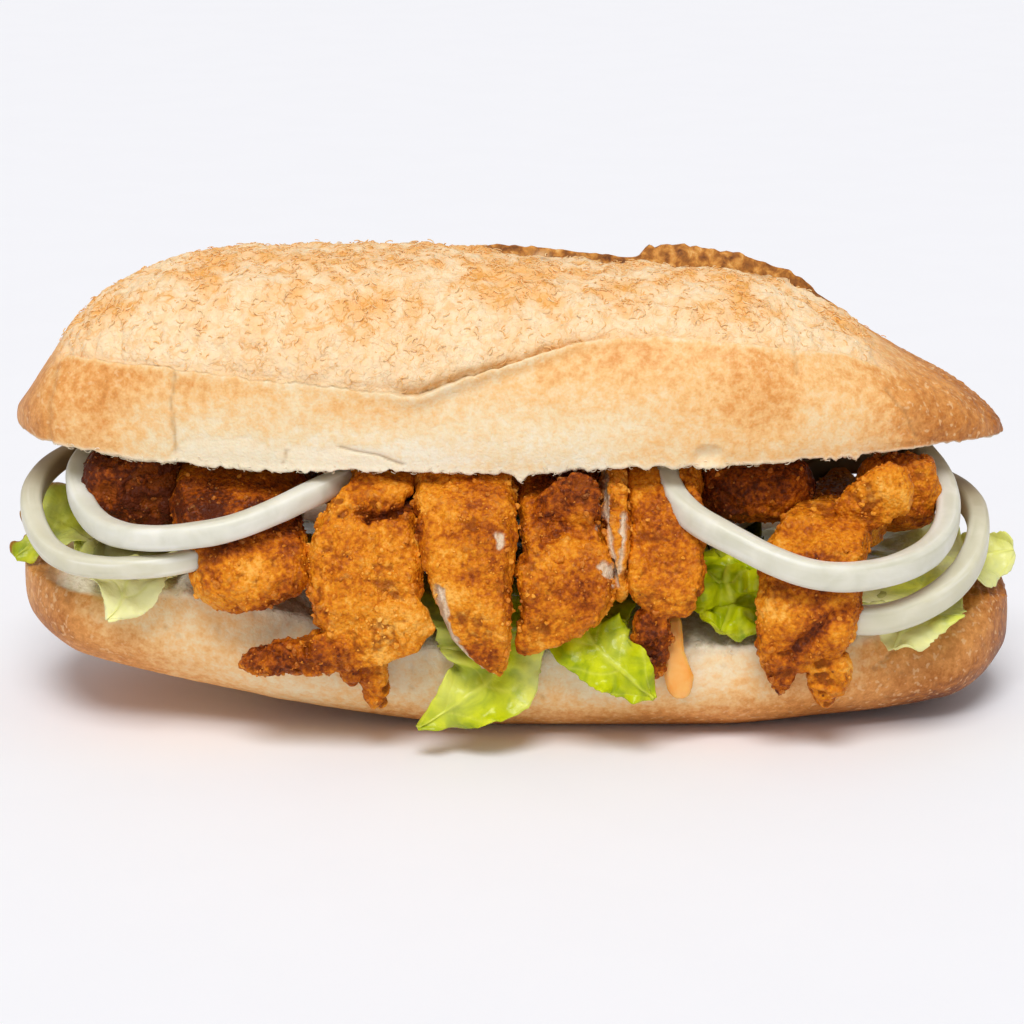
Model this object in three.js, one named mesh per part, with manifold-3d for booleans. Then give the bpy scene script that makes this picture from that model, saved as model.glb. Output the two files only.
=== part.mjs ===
// A breaded cutlet torta: a long crusty roll split in two, filled with lettuce, strips of fried
// cutlet and raw onion rings. Millimetres, +Z up. X runs along the roll and -Y is the side from
// which the filling spills. Every piece is a closed solid, and each one is cut back a little
// where a harder or thinner neighbour presses into it.
import * as THREE from "three";
import { mergeVertices } from "three/addons/utils/BufferGeometryUtils.js";
import Module from "manifold-3d";

const wasm = await Module();
wasm.setup();

// ---------------------------------------------------------------- driving dimensions

const CLEARANCE = 0.35; // air left between pieces that touch
const MERGE = 1e-4; // vertices closer than this are one vertex
const FLATNESS = 0.3; // a cut leaves slivers, and facets this nearly level are joined again

const LID = {
  left: -134, // where the roll's rounded left end stops
  right: 132.8, // the pointed right end
  halfWidth: 52,
  cutSlope: -0.075, // the lid leans back, so its front edge is higher
  endRound: 16,
  belly: 1, // how far the soft cut face sags onto the filling
};

const BASE = {
  left: -133.5,
  right: 136.5,
  halfWidth: 51,
  endRound: 20,
  belly: 3, // how far the cut face swells up under the filling
};

const SCORE = {
  left: -124, // the baker's slash, which burst open in the oven
  right: 104,
  highest: 0.8, // its near edge never climbs above this share of the dome
  lipLift: 1.6, // how far the crust's torn edge stands proud of the crumb
  groove: 1.8, // how far the crumb sinks just inside that edge
  earLift: 5, // the raised crust flap along the far edge
};

// ---------------------------------------------------------------- small helpers

const clamp = THREE.MathUtils.clamp;
const smooth = THREE.MathUtils.smoothstep;
const signedPower = (v, p) => Math.sign(v) * Math.abs(v) ** p;

// A smooth curve through a few measured points, [x, value], level beyond the first and last.
function through(points) {
  const slope = points.map((p, i) => {
    const before = points[Math.max(i - 1, 0)];
    const after = points[Math.min(i + 1, points.length - 1)];
    return (after[1] - before[1]) / (after[0] - before[0]);
  });
  return (x) => {
    const at = clamp(x, points[0][0], points[points.length - 1][0]);
    let i = 0;
    while (i < points.length - 2 && at > points[i + 1][0]) i += 1;
    const step = points[i + 1][0] - points[i][0];
    const t = (at - points[i][0]) / step;
    const rise = points[i + 1][1] - points[i][1];
    return (
      points[i][1] +
      rise * t * t * (3 - 2 * t) +
      step * t * (1 - t) * (slope[i] * (1 - t) - slope[i + 1] * t)
    );
  };
}

// A repeatable random number from -1 to 1 for a point of a whole-number lattice.
function lattice(i, j, k) {
  let h = Math.imul(i, 374761393) ^ Math.imul(j, 668265263) ^ Math.imul(k, 1440662683);
  h = Math.imul(h ^ (h >>> 13), 1274126177);
  h = Math.imul(h ^ (h >>> 15), 2246822519);
  return ((h ^ (h >>> 16)) >>> 0) / 2147483648 - 1;
}

// Smooth noise from -1 to 1: the lattice's numbers, blended.
function noise(x, y, z) {
  const [i, j, k] = [x, y, z].map(Math.floor);
  const [u, v, w] = [x - i, y - j, z - k].map((t) => t * t * (3 - 2 * t));
  const mix = (a, b, t) => a + (b - a) * t;
  const row = (dj, dk) => mix(lattice(i, j + dj, k + dk), lattice(i + 1, j + dj, k + dk), u);
  return mix(mix(row(0, 0), row(1, 0), v), mix(row(0, 1), row(1, 1), v), w);
}

// Noise at a point in space: waves about `size` mm long, different for each seed.
const noiseAt = (p, size, seed) =>
  noise(p.x / size + seed * 7.31, p.y / size + seed * 3.17, p.z / size - seed * 5.73);

// ---------------------------------------------------------------- solids

// A closed skin over a row of rings with equal counts, with a point at each end.
// Past `turn`, the quads are split the other way, so that a leaf's two faces match.
function loft(start, rings, end, turn = Infinity) {
  const count = rings[0].length;
  const points = [start, ...rings.flat(), end];
  const last = points.length - 1;
  const faces = [];
  for (let k = 0; k < count; k += 1) {
    const next = (k + 1) % count;
    faces.push(0, 1 + next, 1 + k);
    for (let r = 0; r < rings.length - 1; r += 1) {
      const [a, b] = [1 + r * count + k, 1 + r * count + next];
      const [c, d] = [a + count, b + count];
      if (k < turn) faces.push(a, b, d, a, d, c);
      else faces.push(a, b, c, b, d, c);
    }
    faces.push(last, last - count + k, last - count + next);
  }
  const geometry = new THREE.BufferGeometry().setFromPoints(points);
  geometry.setIndex(faces);
  return geometry;
}

function solidOf(geometry) {
  const bare = new THREE.BufferGeometry()
    .setAttribute("position", geometry.getAttribute("position").clone())
    .setIndex(geometry.index ? [...geometry.index.array] : null);
  const merged = mergeVertices(bare, MERGE);
  const made = new wasm.Manifold(
    new wasm.Mesh({
      numProp: 3,
      vertProperties: merged.getAttribute("position").array,
      triVerts: new Uint32Array(merged.index.array),
    }),
  );
  if (made.volume() > 0) return made;
  const turned = merged.index.array;
  for (let i = 0; i < turned.length; i += 3) {
    [turned[i], turned[i + 1]] = [turned[i + 1], turned[i]];
  }
  return solidOf(merged);
}

function geometryOf(solid) {
  const mesh = solid.getMesh();
  const geometry = new THREE.BufferGeometry();
  geometry.setAttribute("position", new THREE.BufferAttribute(mesh.vertProperties, mesh.numProp));
  geometry.setIndex(new THREE.BufferAttribute(mesh.triVerts, 1));
  return geometry;
}

// The same solid with its skin moved out by a hair, to cut its neighbours with.
function grown(solid, by = CLEARANCE) {
  const geometry = geometryOf(solid);
  geometry.computeVertexNormals();
  const [place, normal] = ["position", "normal"].map((name) => geometry.getAttribute(name));
  for (let i = 0; i < place.count; i += 1) {
    place.setXYZ(
      i,
      place.getX(i) + by * normal.getX(i),
      place.getY(i) + by * normal.getY(i),
      place.getZ(i) + by * normal.getZ(i),
    );
  }
  return solidOf(geometry);
}

function largestBody(solid) {
  return solid.decompose().reduce((best, body) => (body.volume() > best.volume() ? body : best));
}

// ---------------------------------------------------------------- the roll

const lidRidge = through([
  [-135.5, 84], [-131, 88.5], [-125, 95.5], [-117, 103.5], [-104, 113.5], [-90, 119], [-71, 122],
  [-47, 123.5], [-17, 123], [2, 121], [38, 118], [60, 116.5], [74, 112.5], [87, 106], [106, 95.5],
  [122, 86.5], [130, 81], [134, 77],
]);
const lidPlan = through([
  [-135.5, 0.62], [-110, 0.78], [-80, 0.92], [-40, 1], [30, 1], [70, 0.94], [100, 0.74],
  [122, 0.5], [134, 0.4],
]);
const lidCut = through([
  [-135.5, 79], [-122, 76.5], [-104, 73.8], [-84, 72], [-60, 70.8], [-20, 71], [2, 70.6], [20, 72],
  [60, 72.4], [85, 73.4], [105, 74.6], [122, 75], [134, 74.5],
]);
const basePlan = through([
  [-133.5, 0.68], [-110, 0.83], [-75, 0.95], [-30, 1], [50, 1], [85, 0.92], [112, 0.76], [136.5, 0.62],
]);
const baseCut = through([
  [-133.5, 39.5], [-124, 39.5], [-115, 38.3], [-106, 38.2], [-97, 39.6], [-87, 41.2], [-75, 40],
  [-66, 38.8], [-45, 36], [-20, 34.5], [40, 33.8], [110, 33.6], [128, 34.5], [132.5, 33.8],
  [135, 31], [136.5, 28],
]);
// How steeply the base's cut face dips towards the front.
const baseDip = through([[-100, 0], [-87, 0], [-66, 0.05], [-40, 0.1], [-20, 0.13], [136.5, 0.13]]);
// How far the base's crust rolls in over the rim, as an angle on the section's oval.
const baseLip = through([
  [-133.5, -0.5], [-115, -0.34], [-90, -0.24], [70, -0.24], [95, -0.34], [118, -0.66], [136.5, -0.7],
]);
// How far the underside curls up off the table towards each end.
const baseUnderside = through([
  [-133.5, 25.5], [-122, 22], [-112, 18.8], [-97, 14.5], [-84, 11.5], [-56, 6], [-34, 2.5],
  [-12, 0], [58, 0], [80, 2], [104, 4], [122, 7], [136.5, 12],
]);
// The height of the torn crust's near edge above the lid's cut face, with the step where two
// slashes meet, and how far back the tear reaches.
const scoreNear = through([
  [-134, 12], [-124, 21], [-100, 24.5], [-67, 24], [-34, 21], [-24, 20], [-14, 24], [0, 28.5],
  [12, 31.5], [36, 33], [61, 31], [75, 28.5], [92, 25], [104, 18], [122, 9],
]);
const scoreFar = through([
  [-134, 4], [-90, 24], [-20, 24], [-4, 15], [20, 11], [75, 9], [104, 6], [122, 4],
]);
const earShape = through([[-12, 0], [-6, 0.25], [34, 0.3], [37, 0.85], [62, 0.9], [76, 0.6], [82, 0]]);

const lidCutFace = (x, y) => lidCut(x) + LID.cutSlope * y;
const baseCutFace = (x, y) => baseCut(x) + baseDip(x) * y;

// 0 at a rounded end, 1 once `endRound` in from it.
function endFactor(half, x) {
  const inset = clamp(Math.min(x - half.left, half.right - x) / half.endRound, 0, 1);
  return Math.sqrt(1 - (1 - inset) ** 2);
}

const halfWidthOf = (half, plan, x) => half.halfWidth * plan(x) * endFactor(half, x);

// Places along the roll, closer together near its ends.
function placesAlong(half, count) {
  const middle = (half.left + half.right) / 2;
  const reach = (half.right - half.left) / 2;
  return Array.from({ length: count }, (_, i) => {
    const even = -1 + (2 * (i + 0.5)) / count;
    return middle + reach * Math.sin((even * Math.PI * 0.86) / 2) / Math.sin((Math.PI * 0.86) / 2);
  });
}

const WALL_POWER = 2 / 2.5; // a section is a squarish half oval
const LIP_ANGLE = -0.24; // the lid's walls tuck in a little below their widest place

// A point on the lid's plain dome: angle 0 is the front wall, pi the back.
function domePoint(x, angle) {
  const width = halfWidthOf(LID, lidPlan, x);
  const rise = lidRidge(x) - lidCut(x);
  const low = signedPower(Math.sin(LIP_ANGLE), WALL_POWER);
  const y = -width * signedPower(Math.cos(angle), WALL_POWER);
  const share = (signedPower(Math.sin(angle), WALL_POWER) - low) / (1 - low);
  const tall = rise * (0.25 + 0.75 * endFactor(LID, x));
  return new THREE.Vector3(x, y, lidCutFace(x, y) + tall * share);
}

function domeNormal(x, angle) {
  const along = domePoint(x + 0.5, angle).sub(domePoint(x - 0.5, angle));
  const round = domePoint(x, angle + 0.01).sub(domePoint(x, angle - 0.01));
  return along.cross(round).normalize();
}

// The angle at which the dome's front wall is `height` above the cut face.
function angleAtHeight(x, height) {
  let [low, high] = [LIP_ANGLE, Math.PI / 2];
  for (let i = 0; i < 24; i += 1) {
    const middle = (low + high) / 2;
    const p = domePoint(x, middle);
    if (p.z - lidCutFace(x, p.y) < height) low = middle;
    else high = middle;
  }
  return low;
}

function angleAtDepth(x, y) {
  const width = halfWidthOf(LID, lidPlan, x);
  return Math.acos(signedPower(clamp(-y / width, -1, 1), 1 / WALL_POWER));
}

// One ring round the lid: front wall, torn crumb, ear, back and cut face.
function lidRing(x) {
  const open = smooth(x, SCORE.left, SCORE.left + 10) * (1 - smooth(x, SCORE.right - 16, SCORE.right));
  const near = angleAtHeight(x, Math.min(scoreNear(x), SCORE.highest * (lidRidge(x) - lidCut(x))));
  const far = Math.max(angleAtDepth(x, scoreFar(x)), near + 0.35);
  const ear = SCORE.earLift * earShape(x);
  const ring = [];
  const add = (angle, lift, rough) => {
    const p = domePoint(x, angle);
    const bump = rough * open * noiseAt(p, 9, 3) + 0.8 * noiseAt(p, 30, 5);
    ring.push(p.addScaledVector(domeNormal(x, angle), lift * open + bump));
  };
  for (let i = 0; i < 6; i += 1) add(LIP_ANGLE + ((near - LIP_ANGLE) * i) / 6, 0, i ? 0.15 : 0.7);
  add(near, SCORE.lipLift, 0.15);
  add(near + 0.03, -SCORE.groove, 0.3);
  for (let i = 1; i < 6; i += 1) {
    const swell = Math.sin((Math.PI * i) / 6);
    add(near + 0.03 + ((far - near - 0.03) * i) / 6, swell, 0.9);
  }
  add(far, -SCORE.groove * 0.4, 0.3);
  add(far + 0.03, ear + 0.4, 0.15);
  const back = Math.PI - LIP_ANGLE;
  for (let i = 1; i <= 6; i += 1) add(far + 0.06 + ((back - far - 0.06) * i) / 6, i < 2 ? ear * 0.7 : 0, 0.2);
  const [last, first] = [ring[ring.length - 1].clone(), ring[0].clone()];
  for (let i = 1; i < 6; i += 1) {
    const t = i / 6;
    const p = last.clone().lerp(first, t);
    p.z -= LID.belly * endFactor(LID, x) * Math.sin(Math.PI * t) ** 0.7 - 0.8 * noiseAt(p, 12, 9);
    ring.push(p);
  }
  return ring;
}

// The point that closes the row of rings at one end of the roll.
function tipBeyond(ring, x) {
  const tip = new THREE.Vector3();
  for (const p of ring) tip.addScaledVector(p, 1 / ring.length);
  return tip.setX(x);
}

function roll(half, ringAt, count) {
  const rings = placesAlong(half, count).map(ringAt);
  return loft(tipBeyond(rings[0], half.left), rings, tipBeyond(rings[count - 1], half.right));
}

// The outer wall of the roll's lower half: angle 0 is the front edge, pi the back edge.
function hullPoint(x, angle) {
  const width = halfWidthOf(BASE, basePlan, x);
  const floor = Math.max(baseUnderside(x), 0);
  const y = -width * signedPower(Math.cos(angle), WALL_POWER);
  const deep = baseCut(x) - floor + 4;
  const top = baseCutFace(x, y);
  const lift = (top - floor) / (baseCut(x) - floor);
  const low = signedPower(Math.sin(baseLip(x)), WALL_POWER);
  const share = (signedPower(Math.sin(angle), WALL_POWER) - low) / (1 - low);
  const curl = (1 - endFactor(BASE, x)) * 0.45;
  const z = top - deep * lift * share * (1 - curl);
  return new THREE.Vector3(x, y, Math.max(z, floor));
}

function baseRing(x) {
  const ring = [];
  const steps = 18;
  for (let i = 0; i <= steps; i += 1) {
    const angle = baseLip(x) + ((Math.PI - 2 * baseLip(x)) * i) / steps;
    const p = hullPoint(x, angle);
    const free = smooth(p.z, 0.5, 6);
    p.y += 0.9 * free * noiseAt(p, 28, 11) * Math.cos(angle);
    ring.push(p);
  }
  const [last, first] = [ring[steps].clone(), ring[0].clone()];
  for (let i = 1; i < 6; i += 1) {
    const t = i / 6;
    const p = last.clone().lerp(first, t);
    p.z += BASE.belly * endFactor(BASE, x) * Math.sin(Math.PI * t) ** 0.7 + 0.7 * noiseAt(p, 12, 13);
    ring.push(p);
  }
  return ring;
}

// ---------------------------------------------------------------- strips and leaves

// A strip that follows a path. Each station is [x, y, z, width, thickness, roll in degrees].
// `wave` bends the strip as a whole, `relief` roughens its skin, `ragged` frays its sides.
function strip({ stations, seed, across, along, square, wave, waveSize, relief, reliefSize, ragged, side }) {
  const places = stations.map(([x, y, z]) => new THREE.Vector3(x, y, z));
  const girths = stations.map(([, , , w, t, r]) => new THREE.Vector3(w, t, r ?? 0));
  const [path, girth] = [places, girths].map((points) => new THREE.CatmullRomCurve3(points));
  const rings = [];
  for (let s = 0; s < along; s += 1) {
    const u = 0.5 - 0.5 * Math.cos((Math.PI * (s + 0.5)) / along) * 0.995;
    const at = u * 0.35 + ((s + 0.5) / along) * 0.65;
    const centre = path.getPoint(at);
    const forward = path.getTangent(at);
    const { x: width, y: thick, z: roll } = girth.getPoint(at);
    const wide = side.clone().addScaledVector(forward, -side.dot(forward)).normalize();
    wide.applyAxisAngle(forward, THREE.MathUtils.degToRad(roll));
    const up = forward.clone().cross(wide);
    const rounding = (1 - Math.abs(2 * at - 1) ** 9) ** (1 / 3);
    const ring = [];
    for (let k = 0; k < 2 * across; k += 1) {
      const top = k < across;
      const even = ((top ? k : 2 * across - k) / across) * 2 - 1;
      const over = square ? even : Math.sin((even * Math.PI) / 2);
      const thin = (1 - Math.abs(over) ** (square ? 12 : 4)) ** (1 / (square ? 2 : 4));
      const fray = 1 + ragged * noise(at * 9 + seed, Math.sign(over) * 4.7, seed * 1.9);
      const p = centre.clone().addScaledVector(wide, (over * fray * width * rounding) / 2);
      p.addScaledVector(up, wave * noiseAt(p, waveSize, seed));
      const rough = relief * (noiseAt(p, reliefSize, seed + 2) + 0.5 * noiseAt(p, reliefSize / 2, seed + 4));
      p.addScaledVector(up, (top ? 1 : -1) * thin * ((thick * rounding) / 2 + rough));
      ring.push(p);
    }
    rings.push(ring);
  }
  return loft(path.getPoint(0), rings, path.getPoint(1), square ? across : Infinity);
}

const ACROSS_ROLL = new THREE.Vector3(1, 0, 0);
const DEPTH = new THREE.Vector3(0, 1, 0);

const cutletStrip = (seed, stations, more = {}) =>
  strip({
    stations, seed, across: 5, along: 14, square: false, wave: 1.2, waveSize: 22,
    relief: 1.1, reliefSize: 8, ragged: 0.1, side: ACROSS_ROLL, ...more,
  });

// A torn scrap of crust, fused to the strip it belongs to.
const scrap = (seed, stations, side = DEPTH) =>
  cutletStrip(seed, stations, { across: 4, along: 6, relief: 0.8, reliefSize: 5, side });

const leafStrip = (seed, stations, more = {}) =>
  strip({
    stations, seed, across: 7, along: 12, square: true, wave: 2, waveSize: 12,
    relief: 0, reliefSize: 5, ragged: 0.22, side: ACROSS_ROLL, ...more,
  });

// Cutlet strips lie side by side across the roll, and their front ends hang over its edge.
const CUTLETS = {
  cutlet_far_left: [cutletStrip(1, [
    [-99.5, 34, 55, 22, 12], [-99.5, 8, 57, 22, 12], [-99.5, -16, 61, 24, 15], [-100, -30, 64.5, 27, 18],
    [-100, -38, 65, 24, 15],
  ])],
  cutlet_left: [cutletStrip(2, [
    [-71.5, 46, 58, 34, 13], [-72, 10, 57, 34, 13], [-73, -22, 64, 35, 13], [-72.5, -40, 62, 35, 13],
    [-69, -50, 54, 33, 12], [-65.5, -56, 46, 30, 11], [-63.5, -56, 40, 20, 8],
  ])],
  cutlet_left_front: [
    cutletStrip(3, [
      [-39, 49, 58, 31, 13], [-39, 10, 58, 32, 13], [-37, -22, 64.5, 28, 13], [-32.8, -42, 68, 17, 12],
      [-37, -52, 60, 26, 10], [-38, -57, 52, 30, 10], [-38, -60, 42, 29, 10], [-36, -59, 34, 24, 8],
    ]),
    scrap(31, [
      [-22, -60, 41, 10, 12], [-26, -61, 38, 11, 17], [-34, -61, 33.5, 10, 15], [-44, -60, 30, 9, 11],
      [-54, -59, 28.8, 8, 10], [-63, -58, 26.5, 7, 7], [-71, -57, 24, 4, 4],
    ]),
    scrap(32, [[-40, -59, 31, 6, 6], [-41, -58.5, 25, 6, 6.5], [-43, -58, 20, 4, 5]], ACROSS_ROLL),
    scrap(33, [
      [-36, -59, 31, 6, 6], [-36, -58.5, 25, 7, 6], [-35, -57.5, 18, 7, 6], [-34, -57, 12.5, 5, 4],
    ], ACROSS_ROLL),
  ],
  cutlet_middle: [cutletStrip(4, [
    [-11, 50, 58, 26, 13], [-11, 8, 57, 26, 13], [-11.5, -24, 65, 27, 13], [-12.5, -43, 68, 29, 12],
    [-11.4, -56, 60, 27, 10, 3], [-10.2, -61, 48, 22, 10, 6], [-8.8, -63, 38, 18, 9, 8],
    [-6, -63, 30, 12, 7, 8], [-2.8, -62, 22.5, 4, 5, 8],
  ])],
  cutlet_centre: [
    cutletStrip(5, [
      [12, 50, 58, 22, 13], [12, 8, 57, 22, 13], [12, -22, 64.5, 22, 13], [12, -42, 66, 22, 12],
      [13, -54, 57, 22, 10, -3], [14, -59, 50, 27, 9, -5], [13, -61, 45, 27, 9, -6],
      [9.5, -61, 39, 18, 8, -6], [4.5, -61, 33, 9, 7, -6], [1.5, -60, 29, 3, 4, -6],
    ]),
    scrap(34, [
      [12, -50, 59, 16, 9], [14, -52.5, 64, 17, 9], [17.5, -52.5, 69.5, 13, 8], [20, -51, 73.5, 5, 4],
    ], ACROSS_ROLL),
  ],
  cutlet_slice: [cutletStrip(10, [
    [26.5, 48, 57, 7.5, 14], [26.5, 0, 58, 7.5, 13], [26.8, -26, 64.5, 7.5, 13], [27, -46, 67, 7, 12],
    [27, -54, 56, 6.5, 11], [28, -55, 46, 5, 9], [29, -54, 41, 3, 5],
  ], { across: 4, along: 12, relief: 0.5 })],
  cutlet_right: [
    cutletStrip(6, [
      [40.5, 50, 58, 21, 13], [40.5, 8, 57, 21, 13], [40, -18, 64, 21, 13], [39.5, -35, 67, 20, 12],
      [39.5, -47, 62, 20, 11], [39.5, -55, 50, 20.5, 10], [39.5, -58, 44, 20, 10], [38, -58, 38.5, 15, 8],
    ]),
    scrap(35, [
      [37, -58, 40, 9, 7], [36, -58, 33, 10, 7], [36.5, -57, 26, 8, 6], [37, -56, 20.5, 4, 4],
    ], ACROSS_ROLL),
  ],
  cutlet_right_back: [cutletStrip(7, [
    [64.5, 47, 57, 27, 13], [64.5, 12, 56, 27, 13], [64.5, -16, 62, 29, 14], [64.5, -31, 65, 29, 14],
    [64.5, -39, 64, 24, 11],
  ])],
  cutlet_far_right: [
    cutletStrip(8, [
      [88.5, 42, 56, 22, 12], [88.5, 6, 54, 22, 11], [87.5, -26, 54, 23, 11], [83.5, -40, 58, 24, 11],
      [79.5, -49, 54, 26, 11], [77.5, -56, 46, 27, 10], [76.5, -59, 38, 27, 10], [76, -59, 30, 26, 9],
      [78, -58, 24, 21, 8],
    ]),
    scrap(36, [[70, -58, 27, 9, 7], [70, -58, 22, 7, 6], [70.5, -57, 17.5, 4, 4]], ACROSS_ROLL),
    scrap(37, [
      [81, -58, 28, 14, 7], [82, -58, 22, 13, 7], [82, -57, 17, 8, 6], [82, -56.5, 12.5, 3, 4],
    ], ACROSS_ROLL),
    scrap(38, [
      [86, -43, 60, 9, 11], [92, -45, 65, 10, 13], [98, -45, 68.5, 10, 13], [103.5, -43, 70, 7, 11],
    ]),
  ],
  cutlet_end: [cutletStrip(9, [
    [107.5, 22, 53, 15, 12], [106.5, 4, 53, 15, 12], [103, -12, 57, 18, 14], [102.5, -27, 64, 20, 18],
    [102.5, -34, 64.5, 18, 15],
  ])],
};

// ---------------------------------------------------------------- onion rings

// A smooth closed curve through even values, at a share of the way round.
function roundHoop(values, share) {
  const count = values.length;
  const i = Math.floor(share * count);
  const t = share * count - i;
  const [a, b, c, d] = [-1, 0, 1, 2].map((step) => values[(i + step + count) % count]);
  return b + (t * (c - a + t * (2 * a - 5 * b + 4 * c - d + t * (3 * (b - c) + d - a)))) / 2;
}

const CORNER_AT = THREE.MathUtils.degToRad(216);
const CORNER_REACH = THREE.MathUtils.degToRad(26);

// A slice of one onion layer: a hoop of squarish section, draped over the filling. `heights` are
// those of its middle line at even steps round it, first at its right end, then at its back.
// `corner` pushes the hoop out at one place, where it is bent round the filling.
function onionRing({ at, wide, deep, wall, height, heights, corner, seed }) {
  const [around, section] = [26, 8];
  const points = [];
  for (let i = 0; i < around; i += 1) {
    const angle = (2 * Math.PI * i) / around;
    const middleHeight = roundHoop(heights, i / around);
    const out = new THREE.Vector3(Math.cos(angle), Math.sin(angle), 0);
    const bent = corner * Math.exp(-(((angle - CORNER_AT) / CORNER_REACH) ** 2));
    const spread = 1 + bent + 0.03 * noise(out.x * 1.4 + seed, out.y * 1.4, seed);
    const thick = wall * (1 + 0.12 * noise(out.x + 9, out.y, seed));
    for (let k = 0; k < section; k += 1) {
      const round = (2 * Math.PI * (k + 0.5)) / section;
      const across = (signedPower(Math.cos(round), 0.6) * thick) / 2;
      const up = (signedPower(Math.sin(round), 0.6) * height) / 2;
      points.push(new THREE.Vector3(
        at[0] + out.x * ((wide / 2) * spread + across),
        at[1] + out.y * ((deep / 2) * spread + across),
        middleHeight + up,
      ));
    }
  }
  const faces = [];
  for (let i = 0; i < around; i += 1) {
    for (let k = 0; k < section; k += 1) {
      const [j, next] = [(i + 1) % around, (k + 1) % section];
      const [a, b] = [i * section + k, i * section + next];
      const [c, d] = [j * section + k, j * section + next];
      faces.push(a, c, d, a, d, b);
    }
  }
  return new THREE.BufferGeometry().setFromPoints(points).setIndex(faces);
}

const ONIONS = {
  onion_left_upper: {
    at: [-78, -22], wide: 74, deep: 74, wall: 6.2, height: 6.5,
    heights: [70.3, 69, 66.1, 70.1, 67.4, 58.6, 60.7, 68], corner: 0, seed: 1,
  },
  onion_left_lower: {
    at: [-93, -22], wide: 70, deep: 70, wall: 5.8, height: 5.7,
    heights: [56.6, 61, 66, 67.2, 61, 51, 51.1, 54.9], corner: 0, seed: 2,
  },
  onion_right_upper: {
    at: [78.5, -28], wide: 74, deep: 74, wall: 6.5, height: 7.5,
    heights: [61.5, 71.7, 69.7, 70.1, 72, 61.8, 51.2, 52.5], corner: 0.1, seed: 3,
  },
  onion_right_lower: {
    at: [91, -22], wide: 68, deep: 70, wall: 6.5, height: 7.5,
    heights: [54.5, 59.6, 61.6, 52.2, 48, 44, 36.6, 42.6], corner: 0, seed: 4,
  },
};

// ---------------------------------------------------------------- lettuce

const LEAVES = {
  lettuce_left: leafStrip(21, [
    [-52, -2, 42, 60, 0.9], [-80, -3, 43, 74, 0.9], [-104, -8, 45, 60, 0.9, -4],
    [-114, -7, 50, 32, 0.9, -22], [-121, -8, 51.5, 27, 0.9, -36], [-128, -14, 46.5, 14, 0.9, -38],
    [-134.5, -17, 42, 4, 0.9, -45],
  ], { side: DEPTH }),
  lettuce_left_front: leafStrip(27, [
    [-99, 24, 46, 22, 0.9], [-99, -14, 46, 24, 0.9], [-100, -40, 45, 22, 0.9], [-100.5, -47, 42.5, 19, 0.9],
    [-102.5, -50.5, 39, 11, 0.9], [-105.5, -52, 35, 2, 0.9],
  ]),
  lettuce_middle_left: leafStrip(22, [
    [-20, 47, 48, 40, 0.9], [-14, 0, 42, 42, 0.9], [-7, -38, 38, 34, 0.9], [-4.5, -52, 33, 30, 0.9],
    [-4.5, -57, 26, 27, 0.9], [-7, -58, 19.5, 23, 0.9], [-14, -60, 15, 14, 0.9], [-25, -61, 8.5, 1, 0.9],
  ]),
  lettuce_middle_right: leafStrip(23, [
    [26, 47, 48, 42, 0.9], [24, 0, 42, 38, 0.9], [20, -40, 38, 26, 0.9], [18.5, -54, 34, 19, 0.9],
    [24, -60, 28, 19, 0.9], [31, -62, 22.5, 14, 0.9], [37, -62, 17, 3, 0.9],
  ]),
  lettuce_curl: leafStrip(24, [
    [58, 44, 48, 26, 0.9], [57, -20, 43, 22, 0.9], [57, -43, 49, 20, 0.9], [56, -50, 45, 19, 0.9],
    [58, -46, 38, 22, 0.9], [55, -52, 31, 15, 0.9],
  ]),
  lettuce_right: leafStrip(25, [
    [66, 0, 40, 60, 0.9], [90, -3, 39.5, 66, 0.9], [112, -8, 40.5, 56, 0.9, 9], [124, -10, 40, 34, 0.9, 6],
    [131, -9, 41, 15, 0.9, 45], [137, -8, 42, 10, 0.9, 70],
  ], { side: DEPTH }),
  lettuce_right_front: leafStrip(28, [
    [104, 24, 38, 26, 0.9], [104, -14, 36, 30, 0.9], [106, -36, 35, 30, 0.9], [103, -47, 32, 22, 0.9],
    [100, -52, 28, 6, 0.9],
  ]),
};

const sauceDrip = strip({
  stations: [
    [41, -46, 37, 5, 2], [41.5, -52, 34, 6, 2.4], [42, -54.5, 27, 6, 2.4], [43.5, -54.5, 20, 8, 2.6],
    [44.5, -54, 14, 5, 2],
  ],
  seed: 41, across: 4, along: 9, square: false, wave: 0, waveSize: 9, relief: 0.1, reliefSize: 6,
  ragged: 0.08, side: ACROSS_ROLL,
});

// ---------------------------------------------------------------- assembly

const colours = {
  bread: new THREE.MeshStandardMaterial({ color: 0xe3b877, roughness: 0.85, metalness: 0 }),
  cutlet: new THREE.MeshStandardMaterial({ color: 0xc4701c, roughness: 0.7, metalness: 0 }),
  onion: new THREE.MeshStandardMaterial({ color: 0xe9e8dc, roughness: 0.35, metalness: 0 }),
  lettuce: new THREE.MeshStandardMaterial({ color: 0x9dbf2f, roughness: 0.45, metalness: 0 }),
  sauce: new THREE.MeshStandardMaterial({ color: 0xf0a868, roughness: 0.3, metalness: 0 }),
};

const sandwich = new THREE.Group();
const placed = [];

const boxOf = (solid) => {
  const { min, max } = solid.boundingBox();
  return new THREE.Box3(new THREE.Vector3(...min), new THREE.Vector3(...max));
};

// The solid cut back from every placed piece whose `part` it reaches into.
function cutBack(solid, part) {
  let left = solid;
  for (const other of placed) {
    if (!boxOf(other[part]).intersectsBox(boxOf(left))) continue;
    if (left.intersect(other[part]).volume() > 0) left = left.subtract(other.cutter);
  }
  return left;
}

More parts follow.
